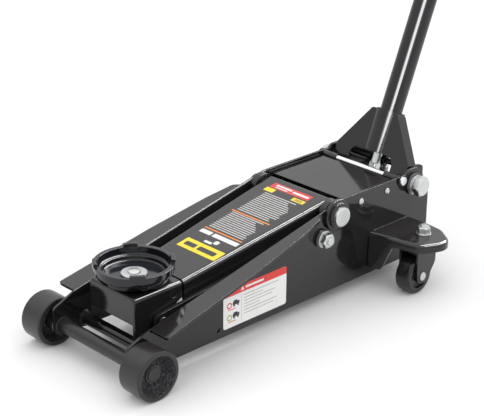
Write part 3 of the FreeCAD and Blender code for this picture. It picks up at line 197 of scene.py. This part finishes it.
def enamel(name, colour, gloss=0.05, peel=0.06, peel_scale=260.0, rounding=0.0009):
    """Gloss enamel: orange peel, faint dust and a little uneven gloss."""
    paint = Paint(name)
    cloud = paint.noise(9.0, 4.0)
    dust = paint.remap(paint.noise(140.0, 5.0, 0.7), 0.64, 0.8, 0.0, 0.25)
    deep = paint.mix(cloud, colour, tuple(channel * 1.3 + 0.0008 for channel in colour))
    paint.colour(paint.mix(dust, deep, (0.022, 0.021, 0.020)))
    paint.rough(paint.remap(paint.noise(22.0, 4.0, 0.6), 0.3, 0.75, gloss, gloss + 0.07))
    paint.set(IOR=1.5)
    paint.bump([(paint.noise(peel_scale, 1.0), 0.0002, peel), (paint.noise(26.0, 2.0), 0.0012, 0.04)],
               rounding)
    return paint.material


def wheel_casting(name):
    """Painted cast wheel: satin turned tread, pebbled dish between rim and hub, with painted highlights:
    bright bluish specks in the dish's colour stand in for glints.
    """
    middle_height = 0.038
    dish_radius = 0.0317
    dish_blend = 0.0005
    paint = Paint(name)
    position = paint.add("ShaderNodeSeparateXYZ")
    paint.link(paint.place, position.inputs["Vector"])
    across = paint.math("SUBTRACT", position.outputs["X"], AXLE_X)
    above = paint.math("SUBTRACT", position.outputs["Z"], middle_height)
    radius = paint.math("SQRT", paint.math("ADD", paint.math("POWER", across, 2.0),
                                           paint.math("POWER", above, 2.0)), 0.0)
    dish = paint.remap(radius, dish_radius - dish_blend, dish_radius + dish_blend, 1.0, 0.0)
    pebble = paint.spots(520.0)
    grain = paint.noise(420.0, 4.0, 0.65)
    warm = paint.mix(paint.noise(60.0, 4.0), (0.010, 0.0085, 0.008), (0.020, 0.0175, 0.017))
    # Painted highlight: bright bluish specks mixed into the dish's dark base colour stand in for glints on
    # the pebbled surface.
    painted_glint_mask = paint.remap(grain, 0.50, 0.62, 0.0, 1.0)
    dish_with_painted_glints = paint.mix(painted_glint_mask, (0.003, 0.003, 0.004), (0.062, 0.065, 0.080))
    paint.colour(paint.mix(dish, warm, dish_with_painted_glints))
    paint.rough(paint.remap(dish, 0.0, 1.0, 0.30, 0.16))
    rings = paint.noise(60.0, 2.0, 0.5, paint.stretched((1.0, 22.0, 1.0)))
    rough_height = paint.math("MULTIPLY", pebble, dish)
    paint.bump([(rough_height, 0.0016, 0.9), (paint.math("MULTIPLY", grain, dish), 0.0008, 0.6),
                (rings, 0.0003, 0.22), (paint.noise(700.0, 2.0), 0.0001, 0.3)], 0.0009)
    return paint.material


def plated(name, colour, rough_low, rough_high, rounding=0.0005):
    """Zinc-plated steel: cloudy plating with fine scratches."""
    paint = Paint(name)
    cloud = paint.noise(85.0, 5.0, 0.65)
    scratch = paint.noise(900.0, 2.0, 0.6, paint.stretched((1.0, 0.15, 0.4)))
    dark = tuple(channel * 0.68 for channel in colour)
    paint.colour(paint.mix(cloud, dark, colour))
    paint.rough(paint.remap(cloud, 0.25, 0.75, rough_low, rough_high))
    paint.set(Metallic=1.0)
    paint.bump([(scratch, 0.0001, 0.25), (paint.noise(240.0, 3.0), 0.0002, 0.25)], rounding)
    return paint.material


def ground_steel(name, colour):
    """Ground bright bar: fine rings round the bar and a soft cloud."""
    paint = Paint(name)
    rings = paint.noise(120.0, 3.0, 0.6, paint.stretched((1.0, 30.0, 1.0)))
    paint.colour(paint.mix(paint.noise(40.0, 3.0), tuple(c * 0.85 for c in colour), colour))
    paint.rough(paint.remap(rings, 0.3, 0.7, 0.12, 0.28))
    paint.set(Metallic=1.0)
    paint.bump([(rings, 0.0001, 0.12)], 0.0004)
    return paint.material


def sand_casting(name):
    """Sand-cast iron of the power unit, thinly painted."""
    paint = Paint(name)
    grain = paint.noise(300.0, 5.0, 0.7)
    paint.colour(paint.mix(grain, (0.030, 0.030, 0.032), (0.105, 0.104, 0.107)))
    paint.rough(paint.remap(grain, 0.3, 0.7, 0.45, 0.7))
    paint.set(Metallic=0.35)
    paint.bump([(paint.spots(380.0), 0.0008, 0.5), (grain, 0.0004, 0.6)], 0.0014)
    return paint.material


def moulded_nylon(name):
    """Black nylon of the caster wheels with a fine matt grain and scuffs on the tread."""
    paint = Paint(name)
    scuff = paint.remap(paint.noise(70.0, 6.0, 0.75), 0.5, 0.72, 0.0, 1.0)
    paint.colour(paint.mix(scuff, (0.006, 0.006, 0.007), (0.016, 0.016, 0.018)))
    paint.rough(paint.remap(scuff, 0.0, 1.0, 0.24, 0.42))
    paint.bump([(paint.noise(900.0, 2.0), 0.0001, 0.2)], 0.0010)
    return paint.material


def ribbed_rubber(name):
    """Soft black grip with shallow rings and a matt, dusty grain."""
    paint = Paint(name)
    lean = math.radians(22.7)
    ring_pitch = 0.005
    along = paint.add("ShaderNodeVectorMath", operation="DOT_PRODUCT")
    along.inputs[1].default_value = (-math.sin(lean), 0.0, math.cos(lean))
    paint.link(paint.place, along.inputs[0])
    wave = paint.math("SINE", paint.math("MULTIPLY", along.outputs["Value"], 2 * math.pi / ring_pitch), 0.0)
    grain = paint.noise(1100.0, 2.0)
    paint.colour(paint.mix(paint.noise(50.0, 4.0), (0.016, 0.016, 0.017), (0.035, 0.034, 0.034)))
    paint.rough(paint.remap(grain, 0.3, 0.7, 0.55, 0.75))
    paint.bump([(wave, 0.0006, 0.7), (grain, 0.0001, 0.4)], 0.0012)
    return paint.material


def printed(name, colour, variation=0.10):
    """Printed vinyl: glossy film with a faint mottling of the ink."""
    paint = Paint(name)
    mottle = paint.noise(900.0, 2.0)
    paler = tuple(min(1.0, channel * (1 + variation) + 0.01) for channel in colour)
    paint.colour(paint.mix(mottle, colour, paler))
    paint.rough(paint.remap(paint.noise(60.0, 3.0), 0.3, 0.7, 0.26, 0.38))
    paint.bump([(paint.noise(120.0, 2.0), 0.0002, 0.05)])
    return paint.material


def weld_metal(name):
    """Weld bead under paint: uneven gloss and ripples."""
    paint = Paint(name)
    ripple = paint.noise(420.0, 3.0, 0.6)
    paint.colour(paint.mix(ripple, (0.012, 0.012, 0.013), (0.030, 0.029, 0.029)))
    paint.rough(paint.remap(ripple, 0.3, 0.7, 0.22, 0.4))
    paint.bump([(ripple, 0.0005, 0.5)])
    return paint.material


def assign_materials():
    """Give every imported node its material."""
    black = enamel("gloss_black_enamel", (0.0062, 0.0056, 0.0056))
    tube = enamel("handle_enamel", (0.0022, 0.0024, 0.0032), gloss=0.04, peel=0.03)
    saddle = enamel("saddle_enamel", (0.0040, 0.0042, 0.0060), gloss=0.06, peel=0.30, peel_scale=150.0,
                    rounding=0.0016)
    socket = enamel("socket_enamel", (0.0026, 0.0025, 0.0027), gloss=0.06, peel=0.10, peel_scale=180.0)
    satin = enamel("satin_black_enamel", (0.0080, 0.0075, 0.0075), gloss=0.26, peel=0.14)
    oiled = enamel("oiled_black_steel", (0.0050, 0.0050, 0.0055), gloss=0.22, peel=0.10)
    zinc = plated("zinc_plate", (0.74, 0.76, 0.76), 0.24, 0.42)
    raw = plated("dark_steel", (0.20, 0.20, 0.21), 0.30, 0.48)
    spring = plated("spring_steel", (0.30, 0.30, 0.31), 0.25, 0.40)
    bright = ground_steel("bright_bar", (0.86, 0.87, 0.89))
    casting = sand_casting("block_casting")
    nylon = moulded_nylon("caster_nylon")
    rubber = ribbed_rubber("grip_rubber")
    by_slot = {
        "black_paint": black, "cast_black": satin, "saddle_paint": saddle, "zinc": zinc,
        "bright_steel": bright, "dark_steel": raw, "spring_steel": spring, "cast_block": casting,
        "caster_black": nylon, "grip_rubber": rubber,
    }
    by_node = {
        "left_front_wheel": wheel_casting("left_wheel_casting"),
        "right_front_wheel": wheel_casting("right_wheel_casting"),
        "lower_handle": tube, "upper_handle": tube, "handle_socket": socket,
        "pump_roller": oiled, "roller_pin": oiled,
    }
    for row in frame["record"]["subparts"]:
        name = row["node"]
        material = by_node.get(name, by_slot[row["material_slot"]])
        mesh = nodes[name].data
        mesh.materials.clear()
        mesh.materials.append(material)
    return {**by_slot, "oiled": oiled}


# Mesh helpers


def mesh_object(name, shape, material, body, smooth=False):
    mesh = bpy.data.meshes.new(name)
    bmesh.ops.recalc_face_normals(shape, faces=shape.faces)
    shape.to_mesh(mesh)
    shape.free()
    for face in mesh.polygons:
        face.use_smooth = smooth
    mesh.materials.append(material)
    piece = bpy.data.objects.new(name, mesh)
    bpy.context.scene.collection.objects.link(piece)
    if body:
        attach(piece, body)
    return piece


def rounded_outline(width, height, radius, steps=4):
    """Corner points of a rectangle with rounded corners, round its middle."""
    radius = min(radius, width / 2 - 1e-6, height / 2 - 1e-6)
    points = []
    for number, (u, v) in enumerate(((1, 1), (-1, 1), (-1, -1), (1, -1))):
        centre = (u * (width / 2 - radius), v * (height / 2 - radius))
        for step in range(steps + 1):
            angle = math.pi / 2 * (number + step / steps)
            points.append((centre[0] + radius * math.cos(angle), centre[1] + radius * math.sin(angle)))
    return points


def ring_outline(radius, steps=28):
    return [(radius * math.cos(2 * math.pi * step / steps), radius * math.sin(2 * math.pi * step / steps))
            for step in range(steps)]


class Sheet:
    """A flat place for labels: its origin, the directions across and up, and the outward normal."""

    def __init__(self, origin, across, up, body):
        self.origin = origin
        self.across = across.normalized()
        self.up = up.normalized()
        self.normal = self.across.cross(self.up).normalized()
        self.body = body

    def film(self, name, outlines, low, high, material):
        """Thin film pieces of given outlines ((u, v) points in millimetres) between two heights."""
        shape = bmesh.new()
        for outline in outlines:
            base = []
            top = []
            for u, v in outline:
                point = self.origin + self.across * u * MM + self.up * v * MM
                base.append(shape.verts.new(point + self.normal * low * MM))
                top.append(shape.verts.new(point + self.normal * high * MM))
            shape.faces.new(top)
            shape.faces.new(list(reversed(base)))
            for index in range(len(base)):
                after = (index + 1) % len(base)
                shape.faces.new((base[index], base[after], top[after], top[index]))
        return mesh_object(name, shape, material, self.body)


def moved(outline, u, v):
    return [(point[0] + u, point[1] + v) for point in outline]


def bar(u, v, width, height, radius=0.3):
    return moved(rounded_outline(width, height, radius, 2), u, v)


def bent_tube(path, radius, sides=10, closed=False):
    """A round tube along a list of points."""
    shape = bmesh.new()
    count = len(path)
    rings = []
    normal = None
    for index, point in enumerate(path):
        if closed:
            along = path[(index + 1) % count] - path[index - 1]
        else:
            along = path[min(index + 1, count - 1)] - path[max(index - 1, 0)]
        along.normalize()
        if normal is None:
            normal = along.orthogonal().normalized()
        normal = (normal - along * normal.dot(along)).normalized()
        other = along.cross(normal)
        size = radius(index) if callable(radius) else radius
        ring = []
        for side in range(sides):
            angle = 2 * math.pi * side / sides
            ring.append(shape.verts.new(point + (normal * math.cos(angle) + other * math.sin(angle)) * size))
        rings.append(ring)
    last = count if closed else count - 1
    for index in range(last):
        first, second = rings[index], rings[(index + 1) % count]
        for side in range(sides):
            after = (side + 1) % sides
            shape.faces.new((first[side], first[after], second[after], second[side]))
    if not closed:
        shape.faces.new(list(reversed(rings[0])))
        shape.faces.new(rings[-1])
    return shape


def coil_path(start, end, radius, turns, flat_turns=0.8, steps=22):
    """Points of a coil from start to end, with its last turns wound flat."""
    axis = end - start
    length = axis.length
    axis.normalize()
    first = axis.orthogonal().normalized()
    second = axis.cross(first)
    total = int(turns * steps)
    points = []
    for step in range(total + 1):
        turn = step / steps
        body_turns = turns - 2 * flat_turns
        share = min(max((turn - flat_turns) / body_turns, 0.0), 1.0)
        angle = 2 * math.pi * turn
        around = first * math.cos(angle) + second * math.sin(angle)
        points.append(start + axis * length * share + around * radius)
    return points


# Labels


def label_colours():
    return {
        "white": printed("label_white", (0.80, 0.80, 0.79), 0.03),
        "grey": printed("label_grey", (0.30, 0.30, 0.30)),
        "pale": printed("label_pale", (0.56, 0.56, 0.55)),
        "dark": printed("label_dark", (0.022, 0.021, 0.021)),
        "red": printed("label_red", (0.66, 0.030, 0.025)),
        "yellow": printed("label_yellow", (0.86, 0.64, 0.010)),
        "orange": printed("label_orange", (0.80, 0.24, 0.020)),
        "green": printed("label_green", (0.30, 0.42, 0.03)),
    }


def side_label(ink):
    """White label with a red head on the left side plate: grey bars and two round marks."""
    plate_y = 87.5
    width, height = 133.0, 64.0
    middle = spot(-234.5, plate_y, 64.2)
    sheet = Sheet(middle, Vector((-1, 0, 0)), Vector((0, 0, 1)), "chassis")
    sheet.film("side_label_film", [rounded_outline(width, height, 4.0)], 0.05, 0.25, ink["white"])
    head = 12.5
    top = height / 2
    red = [(u, v) for u, v in rounded_outline(width, height, 4.0) if v > top - head]
    red += [(-width / 2, top - head), (width / 2, top - head)]
    sheet.film("side_label_head", [red], 0.25, 0.33, ink["red"])
    heading = [bar(-2, top - head / 2, 38, 3.4, 0.6)]
    triangle = [(-31, top - 9.4), (-23.5, top - 9.4), (-27.2, top - 3.4)]
    sheet.film("side_label_head_marks", heading + [triangle], 0.33, 0.37, ink["white"])
    row_start, first_row, row_pitch, row_height = -24, top - 18.5, 5.2, 1.1
    rows = [bar(row_start + length / 2, first_row - row_pitch * number, length, row_height)
            for number, length in enumerate((74, 40, 66, 60, 34, 70, 62))]
    columns = [bar(-29.0, -6.5, 0.6, 44)]
    sheet.film("side_label_rows", rows + columns, 0.25, 0.30, ink["grey"])
    mark_heights = {"red": 4.5, "green": -15.5}
    mark_u = -54
    for colour, v in mark_heights.items():
        disc = moved(ring_outline(5.2), mark_u, v)
        eye = moved(ring_outline(3.1), mark_u, v)
        sheet.film("side_label_" + colour + "_disc", [disc], 0.25, 0.30, ink[colour])
        sheet.film("side_label_" + colour + "_eye", [eye], 0.30, 0.33, ink["white"])
        body = [
            bar(-40.5, v + 1.5, 14, 5.5, 1.4), bar(-42, v + 5.0, 8, 3, 1.2),
            bar(-44.5, v - 2.6, 3.6, 3, 1.4), bar(-36.5, v - 2.6, 3.6, 3, 1.4),
        ]
        sheet.film("side_label_" + colour + "_picture", body, 0.25, 0.30, ink["dark"])
        foot = [bar(-49, v - 7.2, 16, 1.3)]
        sheet.film("side_label_" + colour + "_foot", foot, 0.25, 0.30, ink["red"])


def arm_label(ink):
    """Label on top of the lift arm: yellow plate, white heading, orange lines, bars and a red strip."""
    front, rear = (-123.0, 117.0), (-426.0, 170.0)
    run = Vector((rear[0] - front[0], 0, rear[1] - front[1])).normalized()
    sheet = Sheet(spot(front[0], 0, front[1]), Vector((0, 1, 0)), run, "lift_arm")
    middle = 4

    def up(x):
        """Distance up the arm of a place along the jack."""
        return (x - front[0]) / run.x

    def across_arm(x_low, x_high, width, v, radius):
        """A bar across the arm between two places along the jack."""
        return bar(v, (up(x_low) + up(x_high)) / 2, width, up(x_high) - up(x_low), radius)

    sheet.film("arm_label_ground", [across_arm(-212, -407, 88, middle, 1.0)], 0.04, 0.10, ink["dark"])
    yellow = [across_arm(-184.5, -209.5, 83, middle + 3, 0.8)]
    sheet.film("arm_label_yellow_plate", yellow, 0.05, 0.16, ink["yellow"])
    plate_bars = [across_arm(-192, -202, 24, middle - 20, 2.2), across_arm(-192, -202, 38, middle + 16, 2.2)]
    sheet.film("arm_label_plate_bars", plate_bars, 0.16, 0.20, ink["dark"])
    heading = [
        across_arm(-217.5, -226.5, 9, middle + 11, 2.5), across_arm(-214, -219, 16, middle - 2, 1.2),
        across_arm(-231.5, -240.5, 54, middle + 16, 1.0), across_arm(-231.5, -240.5, 24, middle - 27, 1.0),
    ]
    sheet.film("arm_label_heading", heading, 0.10, 0.16, ink["white"])
    lines = [across_arm(-244.3, -247.0, 82, middle + 1, 0.3), across_arm(-304.6, -307.4, 83, middle - 1, 0.3)]
    sheet.film("arm_label_orange_lines", lines, 0.10, 0.16, ink["orange"])
    lengths = (76, 70, 74, 62, 77, 72, 66, 75, 58, 73, 68, 76)
    rows = []
    for first_x, count, pitch in ((-251.5, 11, 4.9), (-312.0, 13, 5.0)):
        for number in range(count):
            x = first_x - pitch * number
            length = lengths[(number * 5 + count) % len(lengths)]
            start = middle - 38
            gap = 16 + 7 * (number % 4)
            rows.append(across_arm(x, x - 2.0, gap - 1.6, start + gap / 2, 0.3))
            rows.append(across_arm(x, x - 2.0, length - gap, start + gap + (length - gap) / 2, 0.3))
    sheet.film("arm_label_rows", rows, 0.10, 0.15, ink["pale"])
    boxes = [across_arm(-378.5, -389, 20, middle - 37, 0.6), across_arm(-378.5, -387.5, 26, middle + 27, 0.6)]
    sheet.film("arm_label_yellow_boxes", boxes, 0.10, 0.16, ink["yellow"])
    box_bars = [across_arm(-381, -382.6, 18, middle + 27, 0.3),
                across_arm(-384, -385.4, 14, middle + 27, 0.3)]
    sheet.film("arm_label_box_bars", box_bars, 0.16, 0.19, ink["dark"])
    sheet.film("arm_label_red_strip", [across_arm(-391, -405.5, 84, middle - 3, 0.6)], 0.10, 0.16, ink["red"])
    strip_rows = [
        across_arm(-394, -396, 26, middle - 22, 0.3), across_arm(-398.5, -402.5, 34, middle - 20, 0.5),
        across_arm(-396, -400.5, 34, middle + 18, 0.5),
    ]
    sheet.film("arm_label_strip_rows", strip_rows, 0.16, 0.20, ink["white"])


# Springs


def make_pump_spring(spring):
    """The pump's coil in place of its plain tube; it rides with the plunger."""
    low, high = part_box("pump_spring")
    centre = (low + high) / 2
    wire = 0.0011
    radius = (high.x - low.x) / 2 - wire
    start = Vector((centre.x, centre.y, low.z + wire))
    end = Vector((centre.x, centre.y, high.z - wire))
    shape = bent_tube(coil_path(start, end, radius, 7.5), wire)
    coil = mesh_object("pump_spring_coil", shape, spring, "pump_plunger", True)
    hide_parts("pump_spring")
    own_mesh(coil)


def make_socket_coils(black):
    """The coils seen in the socket's slot: one round the handle's pivot, one round the roller's pin."""
    wire = 0.0016
    turns = 11
    far_end = Vector((0, -0.0600, 0))
    near_end = Vector((0, -0.0190, 0))
    for name, core, body, radius in (("torsion_coil", "handle_pivot_bolts", "chassis", 0.0142),
                                     ("roller_coil", "roller_pin", "handle_socket", 0.0084)):
        low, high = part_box(core)
        middle = (low + high) / 2
        path = coil_path(middle + far_end, middle + near_end, radius, turns, 0.3, 18)
        mesh_object(name, bent_tube(path, wire, 8), black, body, True)


def make_return_springs(spring):
    """The arm's two return springs, stretched between chassis and arm, with an eye at each end."""
    low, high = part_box("return_springs")
    wire = 0.0009
    inset = 0.010
    eye_inset = 0.0055
    eye_radius = 0.0046
    z = (low.z + high.z) / 2
    angles = [math.radians(20 * step) for step in range(2, 17)]
    for side_name, side in SIDES.items():
        y = side * 0.0375
        start = Vector((low.x + inset, y, z))
        end = Vector((high.x - inset, y, z))
        path = coil_path(start, end, 0.0050, 26, 0.0, 14)
        eye_rear = [Vector((low.x + eye_inset + eye_radius * math.cos(angle), y,
                            z + eye_radius * math.sin(angle))) for angle in reversed(angles[1:])]
        eye_front = [Vector((high.x - eye_inset - eye_radius * math.cos(angle), y,
                             z + eye_radius * math.sin(angle))) for angle in angles[:-1]]
        shape = bent_tube(eye_rear + path + eye_front, wire, 8)
        coil = mesh_object(side_name + "_return_coil", shape, spring, None, True)
        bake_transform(coil)
        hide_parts("return_springs")


# Welds and small things


def bead(name, path, size, material, body, closed=False):
    """Weld bead along a path, with the ripples of its pools."""

    def swell(index):
        return size * (0.86 + 0.16 * math.sin(index * 1.9) + 0.05 * math.sin(index * 0.7))

    return mesh_object(name, bent_tube(path, swell, 8, closed), material, body, True)


def circle_path(centre, radius, steps=64):
    """A circle in a plane square to the jack's width."""
    turns = [2 * math.pi * step / steps for step in range(steps)]
    return [centre + Vector((math.cos(turn), 0, math.sin(turn))) * radius for turn in turns]


def make_welds(weld):
    """Beads where cross tube, axle and caster brackets meet the side plates."""
    plate_inner = 83.0
    bracket_y = 88.2
    bracket_top = 94.6
    steps = 46
    for side_name, side in SIDES.items():
        tube_ring = circle_path(spot(-42, side * (plate_inner - 3.6), 35), 0.0103)
        bead(side_name + "_tube_weld", tube_ring, 0.0011, weld, "chassis", True)
        axle_ring = circle_path(spot(0, side * (plate_inner - 0.6), 38), 0.0118)
        bead(side_name + "_axle_weld", axle_ring, 0.0012, weld, "chassis", True)
        front = spot(-500, side * bracket_y, bracket_top)
        rear = spot(-590, side * bracket_y, bracket_top)
        run = [front.lerp(rear, step / steps) for step in range(steps + 1)]
        bead(side_name + "_bracket_weld", run, 0.0013, weld, "chassis")


def make_floor():
    """Pale studio floor."""
    shape = bmesh.new()
    half = 9.0
    steps = 12
    grid = [[shape.verts.new((-half + 2 * half * i / steps, -half + 2 * half * j / steps, 0.0))
             for j in range(steps + 1)] for i in range(steps + 1)]
    for i in range(steps):
        for j in range(steps):
            shape.faces.new((grid[i][j], grid[i + 1][j], grid[i + 1][j + 1], grid[i][j + 1]))
    paint = Paint("studio_floor")
    paint.colour(paint.mix(paint.noise(3.0, 3.0), (0.86, 0.86, 0.86), (0.90, 0.90, 0.90)))
    paint.set(Roughness=0.9)
    floor = mesh_object("studio_floor", shape, paint.material, None)


# Light and camera


def softbox(name, direction, distance, along, width, length, strength, target, receivers):
    """Area light that faces the target, long side along a given direction, out of the camera's own sight."""
    data = bpy.data.lights.new(name, "AREA")
    data.shape = "RECTANGLE"
    data.size = width
    data.size_y = length
    data.energy = strength * width * length * math.pi
    light = bpy.data.objects.new(name, data)
    outward = direction.normalized()
    upright = (along - outward * along.dot(outward)).normalized()
    turn = Matrix((upright.cross(outward), upright, outward)).transposed()
    light.matrix_world = Matrix.Translation(target + outward * distance) @ turn.to_4x4()
    light.visible_camera = False
    light.light_linking.receiver_collection = receivers
    bpy.context.scene.collection.objects.link(light)


def painted_pieces(paint_names):
    """A collection of the pieces in the named paints, for a softbox that lights nothing else."""
    group = bpy.data.collections.new("lit_pieces")
    for piece in bpy.context.scene.objects:
        if piece.type == "MESH" and piece.data.materials[0].name in paint_names:
            group.objects.link(piece)
    return group


def make_sky():
    """White studio dome, a little brighter overhead than at the horizon."""
    world = bpy.data.worlds.new("studio")
    world.use_nodes = True
    tree = world.node_tree
    background = tree.nodes["Background"]
    background.inputs["Color"].default_value = (1.0, 1.0, 1.0, 1.0)
    place = tree.nodes.new("ShaderNodeTexCoord")
    split = tree.nodes.new("ShaderNodeSeparateXYZ")
    tree.links.new(place.outputs["Generated"], split.inputs["Vector"])
    rise = tree.nodes.new("ShaderNodeMapRange")
    limits = {"From Min": 0.38, "From Max": 0.62, "To Min": 0.95, "To Max": 1.40}
    for key, value in limits.items():
        rise.inputs[key].default_value = value
    tree.links.new(split.outputs["Z"], rise.inputs["Value"])
    tree.links.new(rise.outputs["Result"], background.inputs["Strength"])
    bpy.context.scene.world = world


def make_light():
    make_sky()
    middle = spot(-280, 0, 150)
    lengthwise = Vector((1, 0, 0))
    upright = Vector((0, 0, 1))
    plates = painted_pieces(("gloss_black_enamel", "saddle_enamel", "satin_black_enamel"))
    softbox("top_strip", Vector((-0.64, 0.03, 0.77)), 2.6, lengthwise, 0.62, 3.2, 26.0, middle, plates)
    softbox("side_strip", Vector((-0.64, 0.45, 0.62)), 2.6, lengthwise, 0.50, 3.2, 24.0, middle, plates)
    tubes = painted_pieces(("handle_enamel", "socket_enamel"))
    front = Vector((0.725, 0.587, 0.465))
    handle_middle = spot(-700, 0, 500)
    softbox("front_strip", front, 3.0, upright, 2.3, 1.8, 3.0, handle_middle, tubes)
    softbox("front_core", front, 2.9, upright, 1.2, 1.8, 17.0, handle_middle, tubes)
    view = bpy.context.scene.view_settings
    view.view_transform = "Standard"
    view.look = "None"
    view.exposure = 0.0
    view.gamma = 1.0


def make_camera():
    """Camera above the jack's front left, at the height of a standing person's waist."""
    data = bpy.data.cameras.new("camera")
    data.lens = 107.76
    data.sensor_width = 36.0
    data.clip_start = 0.05
    data.clip_end = 60.0
    camera = bpy.data.objects.new("camera", data)
    look = Vector((-0.64157, -0.66037, -0.39025)).normalized()
    level = look.cross(Vector((0, 0, 1))).normalized()
    upright = level.cross(look)
    roll = math.radians(0.44)
    right = level * math.cos(roll) + upright * math.sin(roll)
    up = upright * math.cos(roll) - level * math.sin(roll)
    turn = Matrix((right, up, -look)).transposed()
    camera.matrix_world = Matrix.Translation(spot(1147.11, 1479.23, 1042.30)) @ turn.to_4x4()
    bpy.context.scene.collection.objects.link(camera)
    bpy.context.scene.camera = camera


slots = assign_materials()
inks = label_colours()
side_label(inks)
arm_label(inks)
make_pump_spring(slots["spring_steel"])
make_socket_coils(slots["oiled"])
make_return_springs(slots["spring_steel"])
make_welds(weld_metal("weld_bead"))
make_floor()
make_light()
make_camera()
